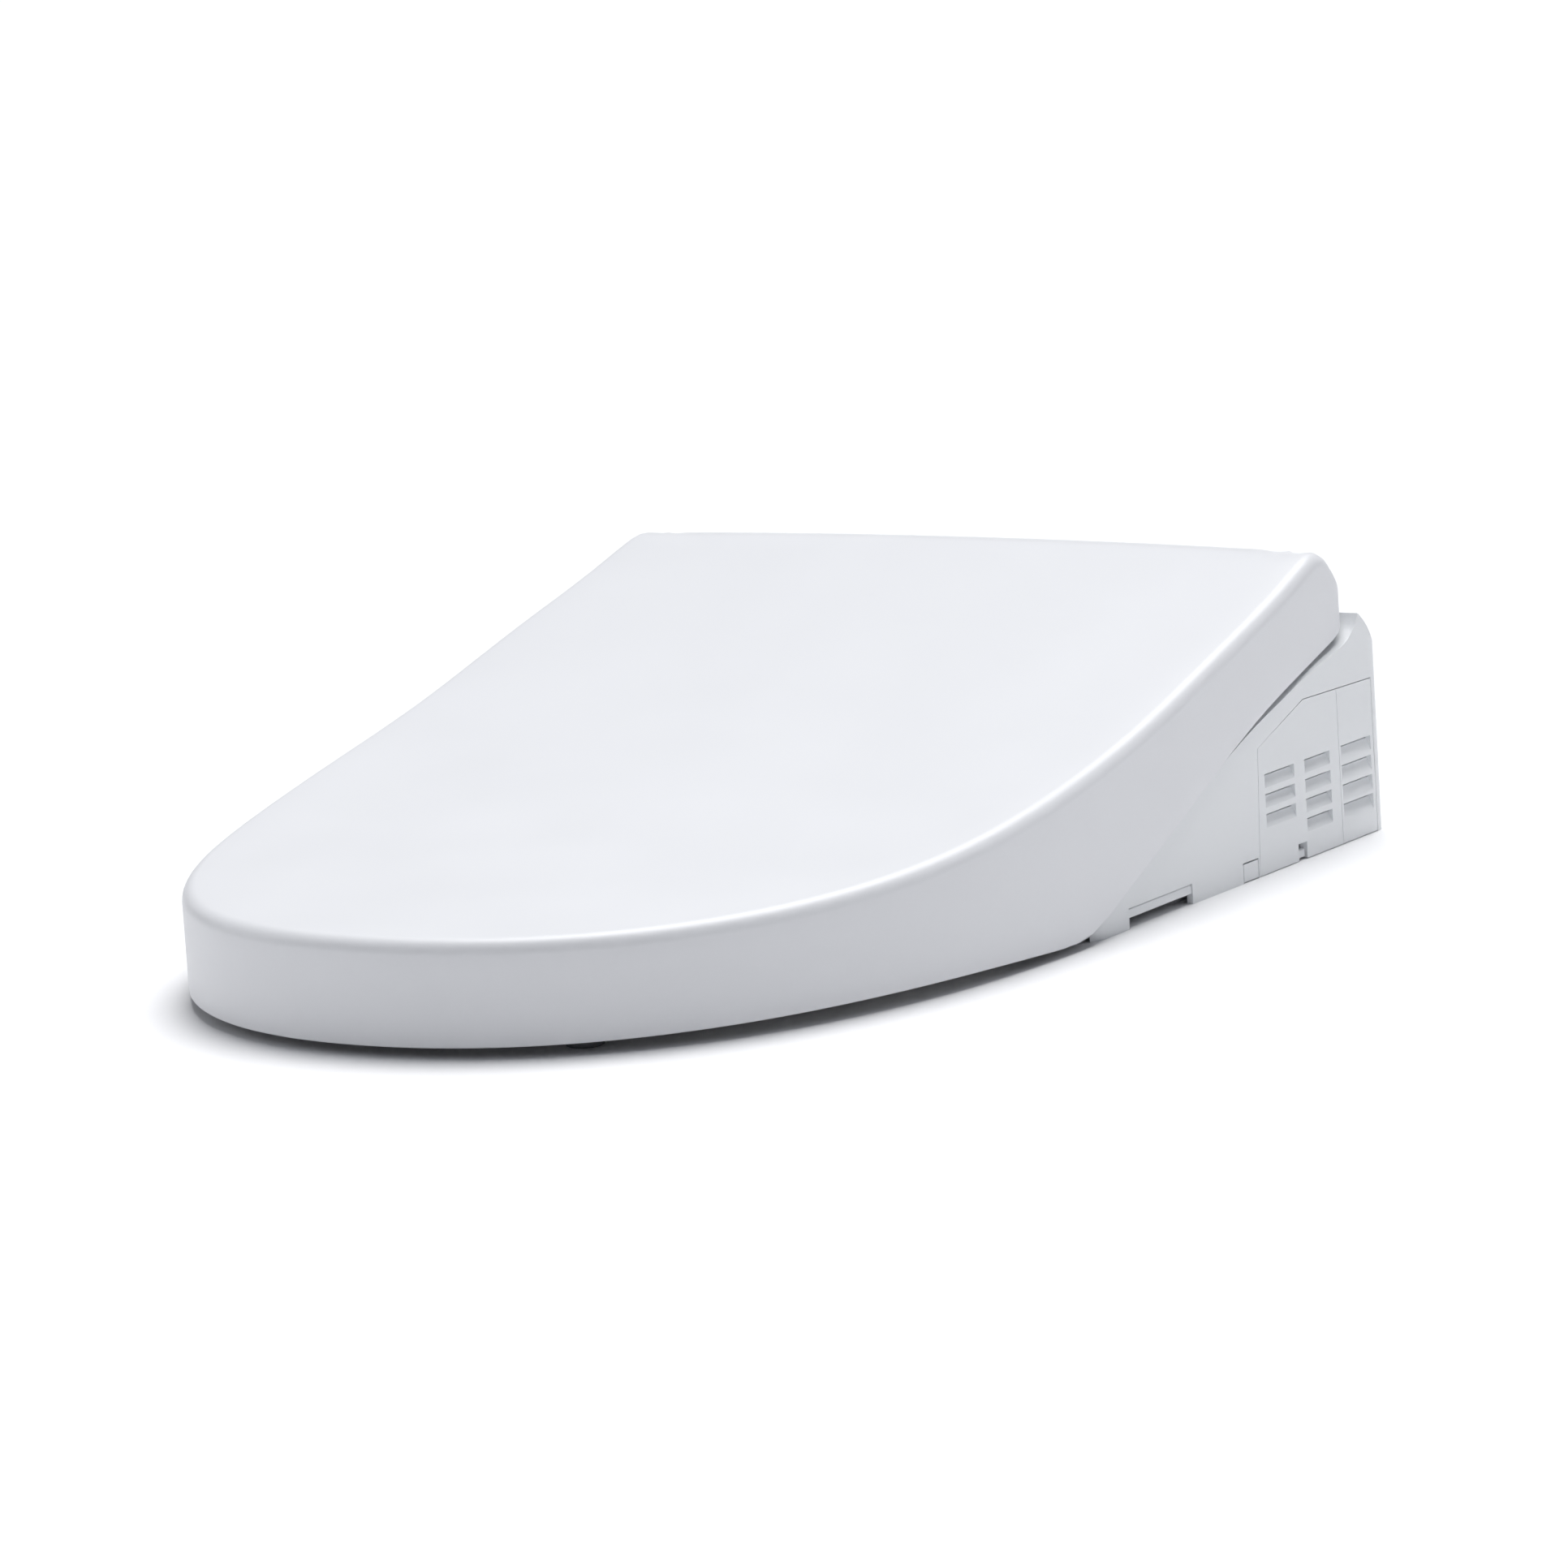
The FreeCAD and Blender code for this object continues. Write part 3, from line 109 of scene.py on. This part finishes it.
ceiling = bpy.data.lights.new("ceiling", "SUN")
ceiling.energy = 3.05
ceiling.angle = math.radians(44)
ceiling_light = bpy.data.objects.new("ceiling", ceiling)
bpy.context.scene.collection.objects.link(ceiling_light)
ceiling_light.rotation_euler = Vector((0.05, -0.38, -1)).to_track_quat("-Z", "Y").to_euler()
strip = bpy.data.lights.new("left_strip", "AREA")
strip.shape = "RECTANGLE"
strip.size, strip.size_y = 0.35, 1.2
strip.energy = 3.5
strip_light = bpy.data.objects.new("left_strip", strip)
bpy.context.scene.collection.objects.link(strip_light)
strip_light.location = (-2.3, -1.0, 0.8)
strip_light.rotation_euler = Vector((2.3, 0.7, -0.75)).to_track_quat("-Z", "Y").to_euler()

AZIMUTH, ELEVATION, ROLL = 33.598, 10.239, -3.75
camera = bpy.data.objects.new("camera", bpy.data.cameras.new("camera"))
bpy.context.scene.collection.objects.link(camera)
turn = (Euler((0, 0, math.radians(AZIMUTH))).to_matrix()
        @ Euler((math.radians(90 - ELEVATION), 0, 0)).to_matrix()
        @ Euler((0, 0, math.radians(ROLL))).to_matrix())
camera.matrix_world = Matrix.Translation((1.7711, -2.8128, 0.6293)) @ turn.to_4x4()
camera.data.sensor_width = 36
camera.data.lens = 167.7
camera.data.clip_start, camera.data.clip_end = 0.1, 30
bpy.context.scene.camera = camera
bpy.context.scene.view_settings.view_transform = "Standard"


# ---- lid: one injection-moulded cover that wraps down round the seat -------------------------
# Gloss white ABS, 3.2 mm thick, polished in the tool. Its top falls in one long curve from a
# round rear end to the front lip, and a soft crease runs all round above an upright skirt.

def moulded_plastic(name, colour, roughness, peel_mm=1.4, peel_depth=0.010, drift=0.012):
    """Moulded plastic: the tool's finish shows as a faint ripple, and the gloss drifts a little."""
    made, tree, surface = new_material(name)
    where = add_node(tree, "ShaderNodeTexCoord").outputs["Object"]
    ripple = add_node(tree, "ShaderNodeTexNoise", {"Scale": 1 / (peel_mm * MM), "Detail": 2.0},
                      {"Vector": where})
    bump = add_node(tree, "ShaderNodeBump", {"Strength": 0.35, "Distance": peel_depth * MM},
                    {"Height": ripple.outputs["Fac"]})
    flow = add_node(tree, "ShaderNodeTexNoise", {"Scale": 14.0, "Detail": 2.0}, {"Vector": where})
    gloss = add_node(tree, "ShaderNodeMapRange",
                     {"To Min": roughness * 0.88, "To Max": roughness * 1.12},
                     {"Value": flow.outputs["Fac"]})
    base = linear(colour)
    tint = add_node(tree, "ShaderNodeMix", {6: [c * (1 - drift) for c in base[:3]] + [1.0], 7: base},
                    {0: flow.outputs["Fac"]}, data_type="RGBA")
    tree.links.new(tint.outputs[2], surface.inputs["Base Color"])
    tree.links.new(gloss.outputs["Result"], surface.inputs["Roughness"])
    tree.links.new(bump.outputs["Normal"], surface.inputs["Normal"])
    surface.inputs["IOR"].default_value = 1.5
    return made


def smooth_line(stations, steps=40):
    """A dense curvature-continuous line through stations in the side view, in metres."""
    points = np.array(stations, float)
    along = np.concatenate([[0], np.cumsum(np.hypot(*np.diff(points, axis=0).T))])
    gaps = np.diff(along)
    count = len(points)
    spans = [np.linspace(a, b, steps, endpoint=False) for a, b in zip(along, along[1:])]
    dense = np.concatenate(spans + [along[-1:]])
    columns = []
    for values in points.T:
        matrix, right = np.eye(count), np.zeros(count)
        for k in range(1, count - 1):
            matrix[k, k - 1:k + 2] = gaps[k - 1], 2 * (gaps[k - 1] + gaps[k]), gaps[k]
            right[k] = 6 * ((values[k + 1] - values[k]) / gaps[k]
                            - (values[k] - values[k - 1]) / gaps[k - 1])
        bend = np.linalg.solve(matrix, right)
        span = np.clip(np.searchsorted(along, dense, "right") - 1, 0, count - 2)
        h, u, v = gaps[span], dense - along[span], along[span + 1] - dense
        columns.append((bend[span] * v ** 3 + bend[span + 1] * u ** 3) / (6 * h)
                       + (values[span] / h - bend[span] * h / 6) * v
                       + (values[span + 1] / h - bend[span + 1] * h / 6) * u)
    return np.array(columns).T * MM


def height_on(line):
    """The height of a side-view line at any y."""
    ordered = line[np.argsort(line[:, 0])]
    return lambda y: float(np.interp(y, ordered[:, 0], ordered[:, 1]))


def skin(name, rings):
    """A surface over closed rings of equally many points, each ring joined to the next."""
    count = len(rings[0])
    points = [tuple(point) for ring in rings for point in ring]
    faces = []
    for level in range(len(rings) - 1):
        for k in range(count):
            after = (k + 1) % count
            low, high = level * count, (level + 1) * count
            faces.append((low + k, low + after, high + after, high + k))
    mesh = bpy.data.meshes.new(name)
    mesh.from_pydata(points, [], faces)
    made = bpy.data.objects.new(name, mesh)
    bpy.context.scene.collection.objects.link(made)
    unselect()
    made.select_set(True)
    bpy.context.view_layer.objects.active = made
    bpy.ops.object.mode_set(mode="EDIT")
    bpy.ops.mesh.select_all(action="SELECT")
    bpy.ops.mesh.remove_doubles(threshold=0.00002)
    bpy.ops.mesh.dissolve_degenerate(threshold=0.00001)
    bpy.ops.mesh.normals_make_consistent(inside=False)
    bpy.ops.object.mode_set(mode="OBJECT")
    return made


def finish_with(made, *modifiers):
    """Add each modifier with its settings and apply it."""
    unselect()
    made.select_set(True)
    bpy.context.view_layer.objects.active = made
    for kind, settings in modifiers:
        modifier = made.modifiers.new(kind.lower(), kind)
        for key, value in settings.items():
            setattr(modifier, key, value)
        bpy.ops.object.modifier_apply(modifier=modifier.name)
    return made


def smooth_by_angle(made, degrees=35):
    unselect()
    made.select_set(True)
    bpy.context.view_layer.objects.active = made
    bpy.ops.object.shade_smooth_by_angle(angle=math.radians(degrees))


def dress(made, body, material, slot, *stands_for):
    """Give a piece its material and its body, and hide the solids that it stands for. The slot is not
    used.
    """
    made.data.materials.clear()
    made.data.materials.append(material)
    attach(made, body)
    if stands_for:
        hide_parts(*stands_for)
    return made


LID_HALF, LID_REAR_HALF, LID_WIDEST, LID_FRONT, LID_BACK = 0.1921, 0.1854, -0.173, -0.478, 0.0453
LID_CORNER, LID_CROWN, LID_WALL, CREASE_RADIUS = 0.0133, 0.0029, 0.0032, 0.0065
LID_SHOULDER_Y, CROWN_FADE_LOW, CROWN_FADE_HIGH, CREASE_FADE = 0.024, 0.1052, 0.1314, 0.03
LID_TOP_LINE = smooth_line([(-484, 46.4), (-440, 47.4), (-378, 50.5), (-303, 57.4), (-228, 69.2),
                            (-153, 85.1), (-78, 106), (-18, 123), (8, 131.4), (17, 133.4), (24.5, 132.2),
                            (29.6, 128.5), (33.6, 124.2), (37, 119.8), (40.4, 115.3), (43.6, 110.7),
                            (45.1, 107.6), (45.35, 105.2)])
LID_EDGE_LINE = smooth_line([(45.35, 105.2), (41, 99.2), (34, 94.9), (18, 90), (-16, 81.1), (-47, 71.9),
                             (-86, 57.4), (-121, 42.3), (-155, 27.5), (-188, 12.8), (-205, 6.2),
                             (-214, 4.6), (-240, 4.5), (-480, 4.5)])
lid_top, lid_edge = height_on(LID_TOP_LINE), height_on(LID_EDGE_LINE)


def blunt_oval(half, middle, front, power_along, power_across, steps):
    """One quarter of a blunt oval, from its widest place to its tip on the centre line."""
    turns = [math.pi / 2 * k / steps for k in range(steps + 1)]
    return [(half * max(math.cos(turn), 0) ** (2 / power_across),
             middle + (front - middle) * math.sin(turn) ** (2 / power_along)) for turn in turns]


def lid_plan():
    """The lid's outline in plan, all round from the middle of its rear edge."""
    waist = LID_HALF - LID_REAR_HALF
    shoulder = LID_BACK - LID_CORNER

    def side(y):
        return LID_HALF - waist * ((y - LID_WIDEST) / (0.022 - LID_WIDEST)) ** 2

    right = [((side(shoulder) - LID_CORNER) * k / 18, LID_BACK) for k in range(18)]
    for k in range(15):
        turn = math.pi / 2 * k / 14
        right.append((side(shoulder) - LID_CORNER + LID_CORNER * math.sin(turn),
                      shoulder + LID_CORNER * math.cos(turn)))
    right += [(side(y), y) for y in np.linspace(shoulder, LID_WIDEST, 42)[1:-1]]
    right += blunt_oval(LID_HALF, LID_WIDEST, LID_FRONT, 2.65, 2.1, 60)
    return np.array(right + [(-x, y) for x, y in right[-2:0:-1]])


def drawn_inwards(plan, distance):
    """An outline moved inwards by a distance, point for point."""
    ahead, behind = np.roll(plan, -1, axis=0), np.roll(plan, 1, axis=0)
    tangent = ahead - behind
    tangent /= np.linalg.norm(tangent, axis=1)[:, None]
    inward = np.stack([tangent[:, 1], -tangent[:, 0]], axis=1)
    centre = plan.mean(axis=0)
    inward *= np.sign(((centre - plan) * inward).sum(axis=1))[:, None]
    return plan + inward * distance


def lid_height(x, y):
    top = lid_top(y)
    rear_share = 1
    if y > LID_SHOULDER_Y:
        rear_share = min(1, max(0, (top - CROWN_FADE_LOW) / (CROWN_FADE_HIGH - CROWN_FADE_LOW)))
    return top + LID_CROWN * (1 - (x / LID_HALF) ** 2) * rear_share


plan = lid_plan()
rings = []
for share in (0, 0.2, 0.4, 0.6, 0.8):
    ring = []
    for x, y in plan:
        edge, high = lid_edge(y), lid_height(x, y)
        drop = CREASE_RADIUS * min(1, max(0, (high - edge) / CREASE_FADE))
        ring.append((x, y, edge + (high - drop - edge) * share))
    rings.append(ring)
FILLET_STEPS = 9
for step in range(FILLET_STEPS + 1):
    turn = math.pi / 2 * step / FILLET_STEPS
    inner = drawn_inwards(plan, CREASE_RADIUS * (1 - math.cos(turn)))
    ring = []
    for (x, y), (edge_x, edge_y) in zip(inner, plan):
        span = lid_height(edge_x, edge_y) - lid_edge(edge_y)
        drop = CREASE_RADIUS * min(1, max(0, span / CREASE_FADE)) * (1 - math.sin(turn))
        ring.append((x, y, lid_height(x, y) - drop))
    rings.append(ring)
SPINE, SPINE_STEPS = (-0.300, -0.135), 24
inner = drawn_inwards(plan, CREASE_RADIUS)
for step in range(1, SPINE_STEPS + 1):
    share = (step / SPINE_STEPS) ** 0.9
    ring = []
    for x, y in inner:
        x, y = x * (1 - share), y + (min(SPINE[1], max(SPINE[0], y)) - y) * share
        ring.append((x, y, lid_height(x, y)))
    rings.append(ring)
lid = skin("lid_shell_visual", rings)
finish_with(lid, ("SOLIDIFY", {"thickness": LID_WALL, "offset": -1, "use_even_offset": True}),
            ("BEVEL", {"width": 0.0008, "segments": 3, "limit_method": "ANGLE",
                       "angle_limit": math.radians(50)}))
smooth_by_angle(lid, 40)
lid_gloss = moulded_plastic("moulded gloss white ABS", "EFF0F3", 0.4)
dress(lid, "lid", lid_gloss, "lid_abs", "lid_shell")


# ---- housing: the covers of the works box, its latch, flaps, bars and knob -------------------
# Satin white ABS. Each piece is a copy of its solid, merged and cleaned, with every sharp edge
# eased by the small radius that its tool leaves. The louvred cover keeps its crisp slots.

def eased(node, width_mm, segments=2, angle=28, clamp=True):
    """A copy of a solid's mesh with its sharp edges rounded and its flat faces evenly shaded."""
    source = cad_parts[node]
    made = bpy.data.objects.new(f"{node}_visual", source.data.copy())
    bpy.context.scene.collection.objects.link(made)
    unselect()
    made.select_set(True)
    bpy.context.view_layer.objects.active = made
    bpy.ops.object.mode_set(mode="EDIT")
    bpy.ops.mesh.select_all(action="SELECT")
    bpy.ops.mesh.remove_doubles(threshold=0.004 * MM)
    bpy.ops.mesh.dissolve_limited(angle_limit=math.radians(0.6))
    bpy.ops.mesh.normals_make_consistent(inside=False)
    bpy.ops.object.mode_set(mode="OBJECT")
    if width_mm:
        finish_with(made, ("BEVEL", {"width": width_mm * MM, "segments": segments,
                                     "limit_method": "ANGLE", "angle_limit": math.radians(angle),
                                     "use_clamp_overlap": clamp, "harden_normals": False}))
    smooth_by_angle(made, 32)
    return finish_with(made, ("WEIGHTED_NORMAL", {"keep_sharp": True, "weight": 80}))


case_satin = moulded_plastic("moulded satin white ABS", "F4F6F8", 0.36)


def rounded_copy(node, body, material, slot, width_mm):
    """A solid's rounded copy, dressed and riding on its body."""
    return dress(eased(node, width_mm), body, material, slot, node)


for node, body, width in (("lower_case", "housing", 0.5), ("rear_vent_panel", "filter_drawer", 0.35),
                          ("notch_bar_right", "housing", 0.5), ("notch_bar_left", "housing", 0.5),
                          ("release_button", "release_button", 0.5), ("aux_panel", "housing", 0.5),
                          ("nozzle_shutter", "nozzle_shutter", 0.4),
                          ("dryer_outlet_flap", "dryer_flap", 0.4), ("drain_knob", "drain_knob", 0.6),
                          ("cover_latch", "side_cover", 0.3), ("upper_case", "housing", 0.9),
                          ("side_cover_right", "side_cover", 0)):
    rounded_copy(node, body, case_satin, "housing_abs", width)


# ---- works inside the housing, and what carries the seat and the lid --------------------------
# Arms, brackets, fans, valve, pump and wand drive are moulded in grey glass-filled nylon and
# polyacetal. The tools are spark-eroded, so the surface has a fine dull grain and no gloss.

works_grey = moulded_plastic("spark-textured grey nylon", "A4A8AC", 0.55, 0.5, 0.03, 0.05)
WORKS = {"lid": ("lid_hinge_bracket_right", "lid_hinge_bracket_left"),
         "seat": ("seat_hinge_arm_right", "seat_hinge_arm_left"),
         "housing": ("seat_damper", "lid_damper", "wand_guide", "dryer_fan_housing", "dryer_duct",
                     "deodoriser_fan_housing", "solenoid_valve", "water_pump", "water_heater",
                     "drain_valve"),
         "mounting_plate": ("adjuster_inserts", "mounting_plate"), "drive_pinion": ("drive_pinion",),
         "wand_stage": ("wand_rack",), "dryer_impeller": ("dryer_impeller",),
         "deodoriser_rotor": ("deodoriser_fan_rotor",), "filter_drawer": ("filter_cassette",)}
for body, members in WORKS.items():
    for node in members:
        rounded_copy(node, body, works_grey, "works_plastic", 0.4)


# ---- buttons ----------------------------------------------------------------------------------
# Three round caps in pale grey ABS on the left wing. They stand a little proud of their plate
# and have a matt face.

button_grey = moulded_plastic("moulded pale grey ABS", "B9BFC8", 0.42)
for number in (1, 2, 3):
    rounded_copy(f"aux_button_{number}", f"aux_button_{number}", button_grey, "button_abs", 0.5)


# ---- seat: a heated ring of two welded mouldings ----------------------------------------------
# Gloss white polypropylene, 3 mm thick, over a bottom plate. The top is broad and smooth, and its
# edges are rounded towards the bowl opening and towards the outside.

seat_gloss = moulded_plastic("moulded gloss white polypropylene", "F3F3F2", 0.26)
seat_top = eased("seat_top_shell", 1.3, segments=4, angle=50, clamp=False)
dress(seat_top, "seat", seat_gloss, "seat_abs", "seat_top_shell")
rounded_copy("seat_bottom_plate", "seat", seat_gloss, "seat_abs", 0.5)


# ---- rubber: pads under the lid and the seat, the plate's grip sheet and the mains gland -------
# Compression-moulded grey rubber: matt, a little darker in its pores, soft at every edge.

rubber, tree, surface = new_material("compression-moulded grey rubber")
where = add_node(tree, "ShaderNodeTexCoord").outputs["Object"]
pores = add_node(tree, "ShaderNodeTexNoise", {"Scale": 1600.0, "Detail": 3.0}, {"Vector": where})
tint = add_node(tree, "ShaderNodeMix", {6: linear("74777B"), 7: linear("8B8E92")},
                {0: pores.outputs["Fac"]}, data_type="RGBA")
bump = add_node(tree, "ShaderNodeBump", {"Strength": 0.4, "Distance": 0.00004},
                {"Height": pores.outputs["Fac"]})
tree.links.new(tint.outputs[2], surface.inputs["Base Color"])
tree.links.new(bump.outputs["Normal"], surface.inputs["Normal"])
surface.inputs["Roughness"].default_value = 0.78
for node, body in (("lid_bumpers", "lid"), ("seat_bumpers", "seat"), ("plate_pad", "mounting_plate"),
                   ("mains_gland", "housing")):
    rounded_copy(node, body, rubber, "soft_rubber", 0.6)


# ---- metal: hinge pins, screws, the wand's two tubes, motor cans and the inlet ------------------
# Stainless bar and tube, ground to size, with fine marks that break up the highlight. The water
# inlet is turned brass under bright nickel.

def turned_metal(name, colour, roughness, mark_mm):
    """Metal whose gloss and surface vary finely with the marks of its last cut."""
    made, tree, surface = new_material(name)
    where = add_node(tree, "ShaderNodeTexCoord").outputs["Object"]
    marks = add_node(tree, "ShaderNodeTexNoise",
                     {"Scale": 1 / (mark_mm * MM), "Detail": 2.0, "Roughness": 0.6}, {"Vector": where})
    gloss = add_node(tree, "ShaderNodeMapRange", {"To Min": roughness * 0.7, "To Max": roughness * 1.3},
                     {"Value": marks.outputs["Fac"]})
    bump = add_node(tree, "ShaderNodeBump", {"Strength": 0.25, "Distance": 0.00001},
                    {"Height": marks.outputs["Fac"]})
    tree.links.new(gloss.outputs["Result"], surface.inputs["Roughness"])
    tree.links.new(bump.outputs["Normal"], surface.inputs["Normal"])
    surface.inputs["Base Color"].default_value = linear(colour)
    surface.inputs["Metallic"].default_value = 1.0
    return made


steel = turned_metal("ground stainless steel", "C9CBCD", 0.28, 0.5)
nickel = turned_metal("turned brass under bright nickel", "D6D2C8", 0.18, 0.35)
for node, body in (("hinge_pin_right", "housing"), ("hinge_pin_left", "housing"),
                   ("case_screws", "housing"), ("dryer_motor", "housing"), ("wand_motor", "housing"),
                   ("wand_stage", "wand_stage"), ("nozzle_tube", "nozzle")):
    rounded_copy(node, body, steel, "stainless_steel", 0.3)
rounded_copy("water_inlet_fitting", "housing", nickel, "nickel_brass", 0.4)


# ---- nozzle tip -------------------------------------------------------------------------------
# The wand's end cap with its spray holes, moulded in cream resin that stands up to descaler.

tip_resin = moulded_plastic("moulded cream resin", "E6E5DF", 0.4)
rounded_copy("nozzle_tip", "nozzle", tip_resin, "nozzle_tip_resin", 0.5)


# ---- sensor window ----------------------------------------------------------------------------
# A small window of smoked acrylic in the hump, polished, so it is nearly black and very glossy.

smoked, tree, surface = new_material("polished smoked acrylic")
haze = add_node(tree, "ShaderNodeTexNoise", {"Scale": 300.0},
                {"Vector": add_node(tree, "ShaderNodeTexCoord").outputs["Object"]})
haze_range = add_node(tree, "ShaderNodeMapRange", {"To Min": 0.05, "To Max": 0.1},
                      {"Value": haze.outputs["Fac"]})
tree.links.new(haze_range.outputs["Result"], surface.inputs["Roughness"])
surface.inputs["Base Color"].default_value = linear("1B1216")
surface.inputs["Coat Weight"].default_value = 0.6
rounded_copy("user_sensor_window", "housing", smoked, "sensor_lens", 0.5)


# ---- heating foils ----------------------------------------------------------------------------
# The seat's heater and the dryer's heater: aluminium foil pressed over a heating wire, crinkled.

foil, tree, surface = new_material("crinkled aluminium foil")
crinkle = add_node(tree, "ShaderNodeTexVoronoi", {"Scale": 260.0},
                   {"Vector": add_node(tree, "ShaderNodeTexCoord").outputs["Object"]})
bump = add_node(tree, "ShaderNodeBump", {"Strength": 0.5, "Distance": 0.0002},
                {"Height": crinkle.outputs["Distance"]})
tree.links.new(bump.outputs["Normal"], surface.inputs["Normal"])
surface.inputs["Base Color"].default_value = linear("D9DADC")
surface.inputs["Metallic"].default_value = 1.0
surface.inputs["Roughness"].default_value = 0.32
for node, body in (("seat_heater", "seat"), ("dryer_heater", "housing")):
    rounded_copy(node, body, foil, "heating_foil", 0.1)


# ---- circuit boards ---------------------------------------------------------------------------
# Control board and power board: glass laminate under green solder mask, which is a little
# lighter over the copper tracks.

laminate, tree, surface = new_material("green solder mask on glass laminate")
tracks = add_node(tree, "ShaderNodeTexBrick", {"Scale": 260.0, "Color1": linear("1E6B3C"),
                                               "Color2": linear("196036"), "Mortar": linear("3A8C54")},
                  {"Vector": add_node(tree, "ShaderNodeTexCoord").outputs["Object"]})
tree.links.new(tracks.outputs["Color"], surface.inputs["Base Color"])
surface.inputs["Roughness"].default_value = 0.3
for node in ("control_board", "power_board"):
    rounded_copy(node, "housing", laminate, "circuit_board", 0.3)


# ---- filter pad -------------------------------------------------------------------------------
# Black open-cell foam filled with carbon, cut from sheet and laid into the filter's frame.

foam, tree, surface = new_material("open-cell carbon foam")
cells = add_node(tree, "ShaderNodeTexVoronoi", {"Scale": 700.0},
                 {"Vector": add_node(tree, "ShaderNodeTexCoord").outputs["Object"]})
cell_tint = add_node(tree, "ShaderNodeMix", {6: linear("08080A"), 7: linear("2E2E31")},
                     {0: cells.outputs["Distance"]}, data_type="RGBA")
bump = add_node(tree, "ShaderNodeBump", {"Strength": 0.9, "Distance": 0.0005},
                {"Height": cells.outputs["Distance"]})
tree.links.new(cell_tint.outputs[2], surface.inputs["Base Color"])
tree.links.new(bump.outputs["Normal"], surface.inputs["Normal"])
surface.inputs["Roughness"].default_value = 0.95
rounded_copy("filter_pad", "filter_drawer", foam, "carbon_foam", 0.8)


# ---- warm water tube --------------------------------------------------------------------------
# Milky silicone tube from the heater to the wand, extruded, and left with its round bends.

silicone = moulded_plastic("extruded milky silicone", "DDE1E1", 0.5, 0.8, 0.01, 0.03)
rounded_copy("warm_water_pipe", "housing", silicone, "water_tube", 0)
